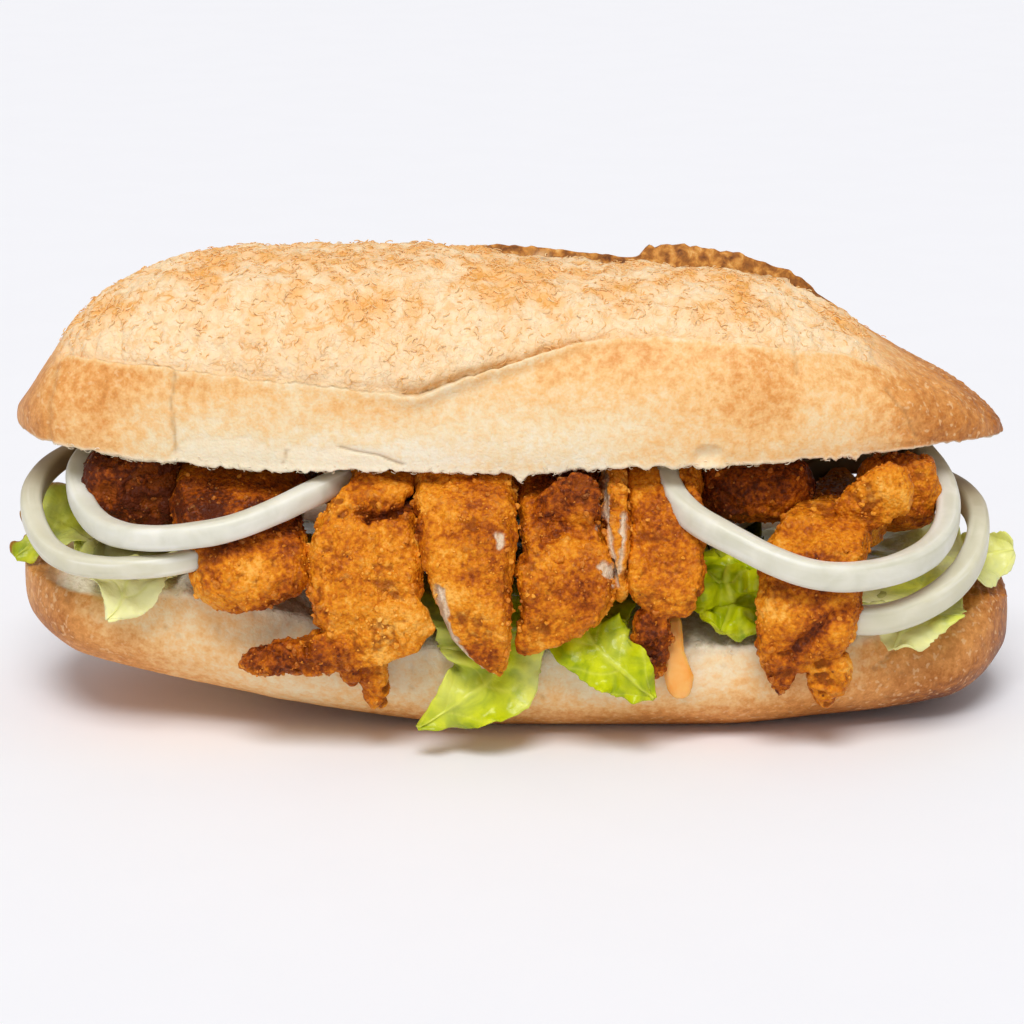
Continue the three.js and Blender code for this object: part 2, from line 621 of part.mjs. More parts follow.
// Adds a piece made of fused shapes, clear of every piece placed before it.
function place(name, shapes, material) {
  let solid = cutBack(shapes.map(solidOf).reduce((whole, shape) => whole.add(shape)), "cutter");
  if (material !== colours.lettuce) solid = cutBack(solid.simplify(FLATNESS), "solid");
  solid = largestBody(solid);
  placed.push({ solid, cutter: grown(solid).add(solid) });
  const mesh = new THREE.Mesh(geometryOf(solid), material);
  mesh.name = name;
  sandwich.add(mesh);
}

for (const [name, sizes] of Object.entries(ONIONS)) place(name, [onionRing(sizes)], colours.onion);
for (const [name, shapes] of Object.entries(CUTLETS)) place(name, shapes, colours.cutlet);
for (const [name, leaf] of Object.entries(LEAVES)) place(name, [leaf], colours.lettuce);
place("sauce_drip", [sauceDrip], colours.sauce);
place("bun_bottom", [roll(BASE, baseRing, 33)], colours.bread);
place("bun_top", [roll(LID, lidRing, 35)], colours.bread);

// The origin is the middle of the whole sandwich, on the table.
const whole = new THREE.Box3().setFromObject(sandwich);
const middle = whole.getCenter(new THREE.Vector3());
for (const piece of sandwich.children) piece.geometry.translate(-middle.x, -middle.y, -whole.min.z);

export default sandwich;
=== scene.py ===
# %% [markdown]
# # A breaded cutlet torta
# A long crusty roll is split in two and filled with strips of breaded cutlet, raw onion rings,
# lettuce and a drip of sauce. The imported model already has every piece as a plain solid. This
# lesson dresses those solids: it keeps their places and sizes and adds crust, crumb and gloss.

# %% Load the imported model
import math

import bmesh
import bpy
import numpy as np
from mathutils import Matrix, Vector
from mathutils.bvhtree import BVHTree


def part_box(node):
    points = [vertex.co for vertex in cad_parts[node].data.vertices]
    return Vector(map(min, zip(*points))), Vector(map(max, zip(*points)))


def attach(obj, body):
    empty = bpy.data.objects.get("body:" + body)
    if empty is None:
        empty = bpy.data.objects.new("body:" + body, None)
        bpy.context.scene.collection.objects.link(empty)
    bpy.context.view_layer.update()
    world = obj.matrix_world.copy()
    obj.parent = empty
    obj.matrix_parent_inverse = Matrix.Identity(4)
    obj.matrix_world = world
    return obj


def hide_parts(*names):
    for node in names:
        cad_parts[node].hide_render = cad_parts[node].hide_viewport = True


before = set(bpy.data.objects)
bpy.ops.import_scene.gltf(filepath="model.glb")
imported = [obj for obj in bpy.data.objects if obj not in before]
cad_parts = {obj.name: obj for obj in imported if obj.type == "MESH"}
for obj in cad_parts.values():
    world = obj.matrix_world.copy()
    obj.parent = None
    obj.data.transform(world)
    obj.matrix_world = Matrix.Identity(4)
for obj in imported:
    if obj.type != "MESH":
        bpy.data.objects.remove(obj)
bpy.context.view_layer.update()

# %% [markdown]
# ## Where things are
# The roll was measured in millimetres from a point on the table near its middle. The packed
# model is centred on its own box, so one small shift and a division by 1000 turn the measured
# millimetres into the model's metres.

# %% Millimetres to metres
MEASURED_ORIGIN = np.array([-1.2147, 7.9949, -0.0994])


def metres(points):
    return (np.asarray(points) + MEASURED_ORIGIN) / 1000


def millimetres(points):
    return np.asarray(points) * 1000 - MEASURED_ORIGIN


# %% [markdown]
# ## Camera
# The sandwich is seen from the front and a little above. A long lens from 0.9 m away keeps the
# roll's two ends nearly the same size. The lens has no depth of field, so all stays sharp.

# %% Camera
CAMERA_DISTANCE = 0.9
CAMERA_TILT = math.radians(15)
CAMERA_LENS = 115.2
AIM = Vector(metres([0, 0, 50.4]))

camera = bpy.data.objects.new("camera", bpy.data.cameras.new("camera"))
camera.data.lens = CAMERA_LENS
camera.data.sensor_width = 36
camera.location = AIM + CAMERA_DISTANCE * Vector((0, -math.cos(CAMERA_TILT), math.sin(CAMERA_TILT)))
camera.rotation_euler = (math.pi / 2 - CAMERA_TILT, 0, 0)
bpy.context.scene.collection.objects.link(camera)
bpy.context.scene.camera = camera
print("camera at", tuple(round(v, 3) for v in camera.location))

# %% [markdown]
# ## Floor and light
# Food on a bright table wants soft light. A pale world fills the shadows, and one wide, high
# sun from the camera's side gives the crust its form and leaves the gap under the lid dark.
# The floor is a plain pale sheet, large enough to fill the picture.

# %% Floor and light
FLOOR_HALF = 6.0
WORLD_STRENGTH = 0.47
SUN_STRENGTH = 2.2
SUN_WIDTH = math.radians(28)
SUN_TURN = (math.radians(33), math.radians(-4), 0)

scene = bpy.context.scene
scene.view_settings.view_transform = "Standard"
scene.world = bpy.data.worlds.new("studio")
scene.world.use_nodes = True
sky = scene.world.node_tree.nodes["Background"]
sky.inputs["Color"].default_value = (1.0, 0.985, 0.99, 1)
sky.inputs["Strength"].default_value = WORLD_STRENGTH

sun = bpy.data.objects.new("wide sun", bpy.data.lights.new("wide sun", "SUN"))
sun.data.energy = SUN_STRENGTH
sun.data.angle = SUN_WIDTH
sun.rotation_euler = SUN_TURN
scene.collection.objects.link(sun)

floor_mesh = bpy.data.meshes.new("floor")
corners = [(-FLOOR_HALF, -FLOOR_HALF, 0), (FLOOR_HALF, -FLOOR_HALF, 0),
           (FLOOR_HALF, FLOOR_HALF, 0), (-FLOOR_HALF, FLOOR_HALF, 0)]
floor_mesh.from_pydata(corners, [], [(0, 1, 2, 3)])
floor = bpy.data.objects.new("floor", floor_mesh)
scene.collection.objects.link(floor)
print("sun", SUN_STRENGTH, "sky", WORLD_STRENGTH)

# %% [markdown]
# ## A shorter way to write node trees
# Materials and Geometry Nodes are both trees of nodes. One helper adds a node, sets its
# choices and fills or links its sockets by name. A second one writes materials with it.

# %% Node helper
def add_node(tree, kind, inputs=None, **choices):
    node = tree.nodes.new(kind)
    for name, value in choices.items():
        setattr(node, name, value)
    for name, value in (inputs or {}).items():
        by_name = (s for s in node.inputs if s.name == name and s.enabled)
        socket = node.inputs[name] if isinstance(name, int) else next(by_name)
        if isinstance(value, bpy.types.NodeSocket):
            tree.links.new(value, socket)
        else:
            socket.default_value = value
    return node


def result(node):
    return next(s for s in node.outputs if s.enabled)


class Finish:
    """A material being written. Each method adds a node and gives back its result."""

    def __init__(self, name):
        self.material = bpy.data.materials.new(name)
        self.material.use_nodes = True
        self.tree = self.material.node_tree
        self.shader = self.tree.nodes["Principled BSDF"]
        self.place = add_node(self.tree, "ShaderNodeTexCoord").outputs["Object"]

    def read(self, name):
        return add_node(self.tree, "ShaderNodeAttribute", attribute_name=name).outputs["Fac"]

    def noise(self, size_mm, detail=3.0, swirl=0.0, stretch=None, shift=0.0):
        scale = stretch or (1, 1, 1)
        place = add_node(self.tree, "ShaderNodeMapping",
                         {"Vector": self.place, "Location": (shift, shift, shift), "Scale": scale})
        node = add_node(self.tree, "ShaderNodeTexNoise",
                        {"Vector": result(place), "Scale": 1000 / size_mm, "Detail": detail,
                         "Distortion": swirl})
        return node.outputs["Fac"]

    def cells(self, size_mm):
        node = add_node(self.tree, "ShaderNodeTexVoronoi",
                        {"Vector": self.place, "Scale": 1000 / size_mm})
        return node.outputs["Distance"]

    def math(self, operation, a, b=0.0):
        return result(add_node(self.tree, "ShaderNodeMath", {0: a, 1: b}, operation=operation))

    def total(self, first, *others):
        for other in others:
            first = self.math("ADD", first, other)
        return first

    def product(self, first, *others):
        for other in others:
            first = self.math("MULTIPLY", first, other)
        return first

    def off_middle(self, value):
        """How far a noise is from its middle value: 0 along thin curly lines."""
        return self.math("ABSOLUTE", self.math("SUBTRACT", value, 0.5))

    def step(self, value, low, high, start=0.0, end=1.0):
        """`value` brought from low..high to start..end, with soft shoulders."""
        return result(add_node(self.tree, "ShaderNodeMapRange",
                               {"Value": value, "From Min": low, "From Max": high,
                                "To Min": start, "To Max": end},
                               interpolation_type="SMOOTHSTEP"))

    def ramp(self, value, stops):
        node = add_node(self.tree, "ShaderNodeValToRGB", {"Fac": value})
        stop_list = node.color_ramp.elements
        while len(stop_list) < len(stops):
            stop_list.new(0.5)
        for stop, (place, colour) in zip(stop_list, stops):
            stop.position = place
            stop.color = (*colour, 1)
        return node.outputs["Color"]

    def mix(self, amount, a, b, how="MIX"):
        a, b = (v if isinstance(v, bpy.types.NodeSocket) else (*v, 1) for v in (a, b))
        node = add_node(self.tree, "ShaderNodeMix", {0: amount, 6: a, 7: b},
                        data_type="RGBA", blend_type=how)
        return node.outputs[2]

    def bump(self, height, depth_mm, strength):
        inputs = {"Height": height, "Distance": depth_mm / 1000, "Strength": strength}
        return add_node(self.tree, "ShaderNodeBump", inputs).outputs["Normal"]

    def finish(self, colour, roughness, normal=None, **constants):
        self.tree.links.new(colour, self.shader.inputs["Base Color"])
        if isinstance(roughness, bpy.types.NodeSocket):
            self.tree.links.new(roughness, self.shader.inputs["Roughness"])
        else:
            self.shader.inputs["Roughness"].default_value = roughness
        if normal is not None:
            self.tree.links.new(normal, self.shader.inputs["Normal"])
        for name, value in constants.items():
            self.shader.inputs[name.replace("_", " ")].default_value = value
        return self.material


table = Finish("pale table")
FLOOR_COLOUR = (0.905, 0.912, 0.95)
speckle = table.noise(40, 2)
floor_mesh.materials.append(table.finish(
    table.mix(table.step(speckle, 0.4, 0.6), FLOOR_COLOUR, tuple(v * 0.995 for v in FLOOR_COLOUR)),
    0.7))

# %% [markdown]
# ## Repeatable roughness
# Nothing on a sandwich is smooth. Two kinds of pattern in space do most of the work here.
# Soft noise blends a number from each corner of a grid of cubes. A cell pattern measures how
# far a point is from the nearest of many scattered points, and makes pits, blisters and knobs.
# Both come from whole-number hashing, so every run gives the same food. The last number given
# to a pattern is its seed: any number will do, as long as each pattern has its own.

# %% Noise and cells
def lattice(i, j, k):
    """A repeatable number from -1 to 1 for each point of a whole-number grid."""
    i, j, k = (np.asarray(v, np.int64).astype(np.uint32) for v in (i, j, k))
    h = i * np.uint32(374761393) ^ j * np.uint32(668265263) ^ k * np.uint32(1440662683)
    h = (h ^ (h >> np.uint32(13))) * np.uint32(1274126177)
    h = (h ^ (h >> np.uint32(15))) * np.uint32(2246822519)
    return (h ^ (h >> np.uint32(16))).astype(float) / 2147483648 - 1


SEED_STEP = np.array([7.31, 3.17, -5.73])


def noise(points, size, seed=0):
    """Soft noise from -1 to 1 with waves about `size` long."""
    q = np.asarray(points) / size + SEED_STEP * seed
    cell = np.floor(q).astype(np.int64)
    t = q - cell
    t = t * t * (3 - 2 * t)
    total = 0
    for corner in np.ndindex(2, 2, 2):
        weight = np.prod(np.where(corner, t, 1 - t), axis=-1)
        total = total + weight * lattice(*np.moveaxis(cell + corner, -1, 0))
    return total


def cells(points, size, seed=0):
    """Distance to the nearest scattered point, as a share of `size`, and that point's number."""
    q = np.asarray(points) / size + SEED_STEP * seed
    cell = np.floor(q).astype(np.int64)
    nearest, number = np.full(q.shape[:-1], 9.0), np.zeros(q.shape[:-1])
    for step in np.ndindex(3, 3, 3):
        c = cell + np.array(step) - 1
        i, j, k = np.moveaxis(c, -1, 0)
        jitter = np.stack([lattice(i, j, k), lattice(i, j, k + 57), lattice(i, j + 31, k)], -1)
        distance = np.linalg.norm(q - (c + 0.5 + 0.45 * jitter), axis=-1)
        closer = distance < nearest
        nearest = np.where(closer, distance, nearest)
        number = np.where(closer, jitter[..., 0], number)
    return nearest, number


def shaken(points, amount, size, seed):
    """The points moved by noise, so that a pattern read there wanders."""
    return points + amount * np.stack([noise(points, size, seed + n) for n in range(3)], -1)


def smooth(value, low, high):
    """0 below `low`, 1 above `high`, and a soft step from one to the other."""
    t = np.clip((value - low) / (high - low), 0, 1)
    return t * t * (3 - 2 * t)


def between(value, a, b, c, d):
    """0 before a, 1 from b to c, and 0 again after d."""
    return smooth(value, a, b) * (1 - smooth(value, c, d))


def fading(distance, reach):
    """1 where the distance is 0, falling off softly beyond `reach`."""
    return np.exp(-(distance / reach) ** 2)


print("noise at a point:", round(float(noise(np.array([[1.5, 2.5, 3.5]]), 1)[0]), 4))

# %% [markdown]
# ## Curves through a few measured points
# A roll's outline is given by a few measured places and a smooth curve through them. The same
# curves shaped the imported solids, so what is built on them here lies exactly on those solids.

# %% Smooth curves
def through(points):
    """A smooth curve through [x, value] points, level beyond the first and last."""
    xs, values = np.array(points, float).T
    index = np.arange(len(xs))
    before, after = np.maximum(index - 1, 0), np.minimum(index + 1, len(xs) - 1)
    slope = (values[after] - values[before]) / (xs[after] - xs[before])

    def curve(x):
        at = np.clip(x, xs[0], xs[-1])
        i = np.clip(np.searchsorted(xs, at) - 1, 0, len(xs) - 2)
        step = xs[i + 1] - xs[i]
        t = (at - xs[i]) / step
        bend = step * t * (1 - t) * (slope[i] * (1 - t) - slope[i + 1] * t)
        return values[i] + (values[i + 1] - values[i]) * t * t * (3 - 2 * t) + bend

    return curve


def signed_power(value, power):
    return np.sign(value) * np.abs(value) ** power


# %% [markdown]
# ## From rows of points to a closed mesh
# A roll is a row of rings, joined ring to ring and closed with a point at each end. Values
# such as how strongly a place is baked travel with the mesh as named attributes, and the
# materials read them.

# %% Skin and attributes
def new_object(name, mesh):
    thing = bpy.data.objects.new(name, mesh)
    scene.collection.objects.link(thing)
    return thing


def paint(mesh, **layers):
    for name, values in layers.items():
        layer = mesh.attributes.new(name, "FLOAT", "POINT")
        layer.data.foreach_set("value", np.asarray(values, np.float32).ravel())


def corners_of(mesh, what):
    """The "co" (place) or "normal" (direction outwards) of every corner, in rows of three."""
    values = np.empty(len(mesh.vertices) * 3)
    mesh.vertices.foreach_get(what, values)
    return values.reshape(-1, 3)


def set_points(mesh, points):
    mesh.vertices.foreach_set("co", np.asarray(points, float).ravel())
    mesh.update()


def softly_shaded(mesh):
    mesh.polygons.foreach_set("use_smooth", [True] * len(mesh.polygons))
    return mesh


def skin(name, rings):
    """A closed mesh over rings (rows, count, 3) in millimetres, with a point at each end."""
    rows, count = rings.shape[:2]
    ends = [rings[0].mean(0), rings[-1].mean(0)]
    k = np.arange(count)
    after = (k + 1) % count
    quads = [np.stack([r * count + k, r * count + after, (r + 1) * count + after,
                       (r + 1) * count + k], -1) for r in range(rows - 1)]
    first, last = rows * count, rows * count + 1
    caps = [(first, b, a) for a, b in zip(k, after)]
    caps += [(last, (rows - 1) * count + a, (rows - 1) * count + b) for a, b in zip(k, after)]
    mesh = bpy.data.meshes.new(name)
    mesh.from_pydata(metres(np.vstack([rings.reshape(-1, 3), ends])).tolist(), [],
                     np.concatenate(quads).tolist() + caps)
    return softly_shaded(mesh)


def closed_layer(rows, behind):
    """One number for each corner of a skin: its rings, what lies behind them, its two ends."""
    whole = np.concatenate([rows, behind], 1)
    return np.append(whole.ravel(), [whole[0].mean(), whole[-1].mean()])


def paint_rings(mesh, shape, behind_count, **layers):
    """Paints layers given in pairs: values on the rings' outside, and values behind it."""
    for name, (values, behind) in layers.items():
        rows = np.broadcast_to(values, shape)
        paint(mesh, **{name: closed_layer(rows, np.broadcast_to(behind, (shape[0], behind_count)))})


def facing_out(mesh):
    """Turns every face outwards."""
    work = bmesh.new()
    work.from_mesh(mesh)
    bmesh.ops.recalc_face_normals(work, faces=work.faces)
    work.to_mesh(mesh)
    work.free()
    return mesh


def finished(mesh, node, material):
    """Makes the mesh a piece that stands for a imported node."""
    piece = new_object("dressed_" + node, mesh)
    mesh.materials.clear()
    mesh.materials.append(material)
    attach(piece, "root")
    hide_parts(node)
    triangles = sum(len(p.vertices) - 2 for p in mesh.polygons)
    print(f"{piece.name}: {triangles} triangles")
    return piece


# %% [markdown]
# ## The roll's outline
# The roll is a squarish half oval on top of another one. Along its length the height, the
# width and the cut follow measured curves, and its ends are rounded off.

# %% Outline of the two halves
LID = {"left": -134.0, "right": 132.8, "half_width": 52.0, "cut_slope": -0.075, "round": 16.0}
BASE = {"left": -133.5, "right": 136.5, "half_width": 51.0, "round": 20.0}
LID_SAG, BASE_SWELL = 2.0, 3.0  # how far the soft cut faces bulge, in mm
WALL_POWER = 0.8  # 1 would be a round oval, less is squarer
LIP_ANGLE = -0.24
RADIUS = 45.0  # a turn of one radian round the roll is about this long

lid_ridge = through([
    [-135.5, 84], [-131, 88.5], [-125, 95.5], [-117, 103.5], [-104, 113.5], [-90, 119], [-71, 122],
    [-47, 123.5], [-17, 123], [2, 121], [38, 118], [60, 116.5], [74, 112.5], [87, 106], [106, 95.5],
    [122, 86.5], [130, 81], [134, 77]])
lid_plan = through([
    [-135.5, 0.62], [-110, 0.78], [-80, 0.92], [-40, 1], [30, 1], [70, 0.94], [100, 0.74],
    [122, 0.5], [134, 0.4]])
lid_cut = through([
    [-135.5, 79], [-122, 76.5], [-104, 73.8], [-84, 72], [-60, 70.8], [-20, 71], [2, 70.6],
    [20, 72], [60, 72.4], [85, 73.4], [105, 74.6], [122, 75], [134, 74.5]])
base_plan = through([
    [-133.5, 0.68], [-110, 0.83], [-75, 0.95], [-30, 1], [50, 1], [85, 0.92], [112, 0.76],
    [136.5, 0.62]])
base_cut = through([
    [-133.5, 39.5], [-124, 39.5], [-115, 38.3], [-106, 38.2], [-97, 39.6], [-87, 41.2], [-75, 40],
    [-66, 38.8], [-45, 36], [-20, 34.5], [40, 33.8], [110, 33.6], [128, 34.5], [132.5, 33.8],
    [135, 31], [136.5, 28]])
base_dip = through([[-100, 0], [-87, 0], [-66, 0.05], [-40, 0.1], [-20, 0.13], [136.5, 0.13]])
base_lip = through([
    [-133.5, -0.5], [-115, -0.34], [-90, -0.24], [70, -0.24], [95, -0.34], [118, -0.66],
    [136.5, -0.7]])
base_underside = through([
    [-133.5, 25.5], [-122, 22], [-112, 18.8], [-97, 14.5], [-84, 11.5], [-56, 6], [-34, 2.5],
    [-12, 0], [58, 0], [80, 2], [104, 4], [122, 7], [136.5, 12]])


def end_factor(half, x):
    """0 at a rounded end, 1 once past the rounding."""
    inset = np.clip(np.minimum(x - half["left"], half["right"] - x) / half["round"], 0, 1)
    return np.sqrt(1 - (1 - inset) ** 2)


def places_along(half, count):
    """Places along the roll, closer together near its ends."""
    middle, reach = (half["left"] + half["right"]) / 2, (half["right"] - half["left"]) / 2
    even = -1 + 2 * (np.arange(count) + 0.5) / count
    bend = 0.43 * math.pi
    return (middle + reach * np.sin(even * bend) / math.sin(bend))[:, None]


LOWEST = float(signed_power(math.sin(LIP_ANGLE), WALL_POWER))


def dome(x, angle):
    """A point on the lid's plain dome: angle 0 is the front wall and pi the back."""
    width = LID["half_width"] * lid_plan(x) * end_factor(LID, x)
    y = -width * signed_power(np.cos(angle), WALL_POWER)
    share = (signed_power(np.sin(angle), WALL_POWER) - LOWEST) / (1 - LOWEST)
    tall = (lid_ridge(x) - lid_cut(x)) * (0.25 + 0.75 * end_factor(LID, x))
    z = lid_cut(x) + LID["cut_slope"] * y + tall * share
    return np.stack([np.broadcast_to(x, z.shape), y, z], -1)


def hull(x, angle):
    """A point on the lower half's wall: angle 0 is the front edge and pi the back."""
    ends = end_factor(BASE, x)
    y = -BASE["half_width"] * base_plan(x) * ends * signed_power(np.cos(angle), WALL_POWER)
    under = np.maximum(base_underside(x), 0)
    height = base_cut(x) - under
    top = base_cut(x) + base_dip(x) * y
    lowest = signed_power(np.sin(base_lip(x)), WALL_POWER)
    share = (signed_power(np.sin(angle), WALL_POWER) - lowest) / (1 - lowest)
    z = top - (height + 4) * (top - under) / height * share * (1 - 0.45 * (1 - ends))
    return np.stack([np.broadcast_to(x, z.shape), y, np.maximum(z, under)], -1)


def outward(surface, x, angle):
    """The direction straight out of `surface`."""
    along = surface(x + 0.5, angle) - surface(x - 0.5, angle)
    round_it = surface(x, angle + 0.01) - surface(x, angle - 0.01)
    straight = np.cross(along, round_it)
    return straight / np.maximum(np.linalg.norm(straight, axis=-1, keepdims=True), 1e-9)


def evenly(surface, x, start, end, count):
    """Angles from start to end that are evenly spaced on the surface, in every ring."""
    start, end = np.broadcast_to(start, x.shape), np.broadcast_to(end, x.shape)
    many = start + (end - start) * np.linspace(0, 1, 160)
    steps = np.linalg.norm(np.diff(surface(x, many), axis=1), axis=-1)
    length = np.concatenate([np.zeros_like(x), np.cumsum(steps, 1)], 1)
    share = np.linspace(0, 1, count)
    return np.stack([np.interp(share * row[-1], row, line) for row, line in zip(length, many)])


# %% [markdown]
# ## The lid's burst crust
# Before baking, a roll is slashed. In the oven the slash bursts and the crumb rises through
# it, so the top is a broad field of rough, toasted crumb. Its near edge is a thin lip of crust
# that stands proud, and on the far side a flap of dark crust, the ear, has lifted.
# Two curves say where the near lip and the far edge run. Every point then knows its distance
# to them, and that distance shapes the lip, the groove behind it and the ear.

# %% Where the crust burst
LID_RINGS = 430
WALL_POINTS, CRUMB_POINTS, BACK_POINTS, CUT_POINTS = 62, 76, 40, 30
OPEN_FROM, OPEN_TO = -124, 104
HALVINGS = 24

tear_height = through([
    [-134, 12], [-124, 21], [-100, 24.5], [-67, 24], [-34, 21], [-24, 20], [-14, 24], [0, 28.5],
    [12, 31.5], [36, 33], [61, 31], [75, 28.5], [92, 25], [104, 18], [122, 9]])
tear_depth = through([
    [-134, 4], [-90, 24], [-20, 24], [-4, 15], [20, 11], [75, 9], [104, 6], [122, 4]])
ear_height = through([
    [-12, 0], [-6, 1.8], [10, 2.2], [34, 1.9], [36.5, 4.3], [50, 4.5], [62, 4.1], [74, 3],
    [84, 1.4], [93, 0]])
lip_proud = through([
    [-124, 0.5], [-60, 0.3], [-34, 0.5], [-22, 1.8], [2, 2.0], [14, 1.5], [36, 0.5], [75, 0.6],
    [92, 0.5], [104, 0.2]])
groove_deep = through([
    [-124, 0.5], [-60, 0.4], [-34, 0.7], [-22, 2.2], [2, 2.4], [16, 2.0], [36, 0.7], [104, 0.4]])

x = places_along(LID, LID_RINGS)
rise = lid_ridge(x) - lid_cut(x)
goal = np.minimum(tear_height(x), 0.8 * rise)
low, high = np.full_like(x, LIP_ANGLE), np.full_like(x, math.pi / 2)
for _ in range(HALVINGS):
    middle = (low + high) / 2
    p = dome(x, middle)
    below = p[..., 2] - lid_cut(x) - LID["cut_slope"] * p[..., 1] < goal
    low, high = np.where(below, middle, low), np.where(below, high, middle)
width = LID["half_width"] * lid_plan(x) * end_factor(LID, x)
depth = np.clip(-tear_depth(x) / width, -1, 1)
far = np.maximum(np.arccos(signed_power(depth, 1 / WALL_POWER)), low + 0.35)
wander = np.concatenate([x, np.zeros_like(x), np.zeros_like(x)], -1)
near = low + ((0.012 * noise(wander, 3.1, 51) + 0.007 * noise(wander, 1.2, 52))[:, None])
print("tear opens from", OPEN_FROM, "to", OPEN_TO, "mm")

# %% [markdown]
# ## Shaping the lid
# Each ring has four stretches: front wall, burst crumb, back wall and cut face. The wall gets
# a faint leathery wave, the crumb a flaky relief, the lip and the ear their lift. Cracks,
# creases and a torn pocket follow short measured lines on the front.

# %% Lid relief
def near_line(points, line):
    """Distance in millimetres from points (x, z) to a broken line, seen from the front."""
    best = np.full(points.shape[:-1], 1e9)
    flat = points[..., [0, 2]]
    for a, b in zip(np.array(line, float)[:-1], np.array(line, float)[1:]):
        t = np.clip(((flat - a) @ (b - a)) / ((b - a) @ (b - a)), 0, 1)
        best = np.minimum(best, np.linalg.norm(flat - a - t[..., None] * (b - a), axis=-1))
    return best


def spot(points, at, reach):
    """1 in the middle of an oval spot on the front, 0 outside it."""
    flat = (points[..., [0, 2]] - at) / reach
    return np.clip(1 - (flat ** 2).sum(-1), 0, 1)


LID_CRACKS = [
    [[-87, 99.7], [-87.7, 94.4], [-88, 89.9], [-87.4, 84.6], [-87.1, 78.5]],
    [[97.5, 93.5], [101.3, 89], [104.6, 83.6], [106.3, 79.6]],
    [[73.8, 99.6], [72.9, 104.8]],
    [[-57.8, 80.4], [-59.2, 76.6]],
    [[-44.4, 81.2], [-35.4, 79.3], [-27.9, 76.6]],
]
LID_CREASE = [[-119, 102], [-120.7, 90.1], [-121.4, 76]]
LIP_REACH, GROOVE_REACH, CRACK_REACH, CREASE_REACH = 2.4, 2.2, 0.35, 0.9
CRACK_DEEP, CREASE_DEEP, POCKET_DEEP = 0.5, 0.6, 1.6
BROAD_FLAKE, SMALL_FLAKE, GRIT = 1.3, 1.1, 0.5

wall = evenly(dome, x, LIP_ANGLE, near, WALL_POINTS)
crumb_stretch = evenly(dome, x, near + 0.012, far, CRUMB_POINTS)
back = evenly(dome, x, far + 0.012, math.pi - LIP_ANGLE, BACK_POINTS)
angle = np.concatenate([wall, crumb_stretch, back], 1)
columns = np.arange(angle.shape[1])
on_wall = (columns < WALL_POINTS)[None] * np.ones_like(x)
on_crumb = ((columns >= WALL_POINTS) & (columns < WALL_POINTS + CRUMB_POINTS))[None] * np.ones_like(x)
on_back = 1 - on_wall - on_crumb

opened = between(x, OPEN_FROM, OPEN_FROM + 10, OPEN_TO - 16, OPEN_TO)
past_lip = (angle - near) * RADIUS
past_far = (angle - far) * RADIUS
points = dome(x, angle)
straight_out = outward(dome, x, angle)

lip = on_wall * lip_proud(x) * fading(past_lip, LIP_REACH)
groove = on_crumb * -groove_deep(x) * fading(past_lip, GROOVE_REACH)
across = np.clip(past_lip / np.maximum((far - near) * RADIUS, 1), 0, 1)
swell = on_crumb * np.sin(math.pi * across)
far_groove = on_crumb * -0.7 * fading(past_far, 2)
broken = 1 + 0.3 * noise(wander, 4.5, 53)[:, None] + 0.2 * noise(wander, 1.6, 54)[:, None]
ear = on_back * (ear_height(x) * broken + 0.4) * (1 - smooth(past_far, 4, 26))
coarse = noise(points, 9, 3) * (0.9 * on_crumb + 0.15 * on_wall + 0.2 * on_back)
lift = opened * (lip + groove + swell + far_groove + ear + coarse) + 0.8 * noise(points, 30, 5)

turned = shaken(points, 1.5, 6, 86)
flakes = (BROAD_FLAKE * (0.45 - np.abs(noise(turned, 5.2, 21)))
          + SMALL_FLAKE * (0.4 - np.abs(noise(turned, 2.6, 22))) + GRIT * noise(points, 1.5, 23))
lift += opened * on_crumb * smooth(past_lip, 0, 3) * flakes
leathery = 0.16 * noise(points, 7, 24) + 0.06 * noise(points, 2.4, 25)
leathery += 0.7 * (0.35 - np.abs(noise(points * [1, 1, 0.45], 5, 28))) * smooth(x, 90, 116)
blisters = np.clip(0.5 - cells(points, 2.6, 26)[0], 0, 1) * smooth(x, 86, 112) * 0.9
lift += (1 - on_crumb * opened) * (leathery + blisters)

front = on_wall * smooth(-points[..., 1], 4, 16)
wiggle = shaken(points, 0.5, 3, 31)
crack = np.max([fading(near_line(wiggle, line), CRACK_REACH) for line in LID_CRACKS], 0) * front
crease = fading(near_line(wiggle, LID_CREASE), CREASE_REACH) * front
pocket = spot(wiggle, [50.5, 79], [4, 3]) * front
lift -= CRACK_DEEP * crack + CREASE_DEEP * crease + POCKET_DEEP * pocket
points = points + straight_out * lift[..., None]

# %% [markdown]
# ## The lid's torn rim and cut face
# The roll was pulled open by hand, so the rim over the filling is ragged: little teeth, one
# longer spike near the middle, and a strip on the left where the crust has peeled and shows
# pale, floury bread. Behind the rim the soft cut face sags onto the filling.

# %% Rim and cut face
SPIKE_AT, SPIKE_LONG, SPIKE_REACH = 2.2, 2.6, 1.3
RIM_REACH = 2.2
PEEL_FROM, PEEL_TO = -90, -26

from_rim = (angle - LIP_ANGLE) * RADIUS
along_rim = points * [1, 0.3, 0.15]
spikes = np.clip(0.5 - 1.6 * np.abs(noise(along_rim, 3.4, 41)), 0, 1)
teeth = 0.5 * noise(along_rim, 8, 40) + 0.55 * noise(along_rim, 1.3, 42)
teeth += 2.2 * spikes * smooth(noise(along_rim, 15, 46), -0.3, 0.6)
teeth = teeth * opened.clip(0.4) + SPIKE_LONG * fading(x - SPIKE_AT, SPIKE_REACH)
points[..., 2] -= on_wall * fading(from_rim, RIM_REACH) * teeth

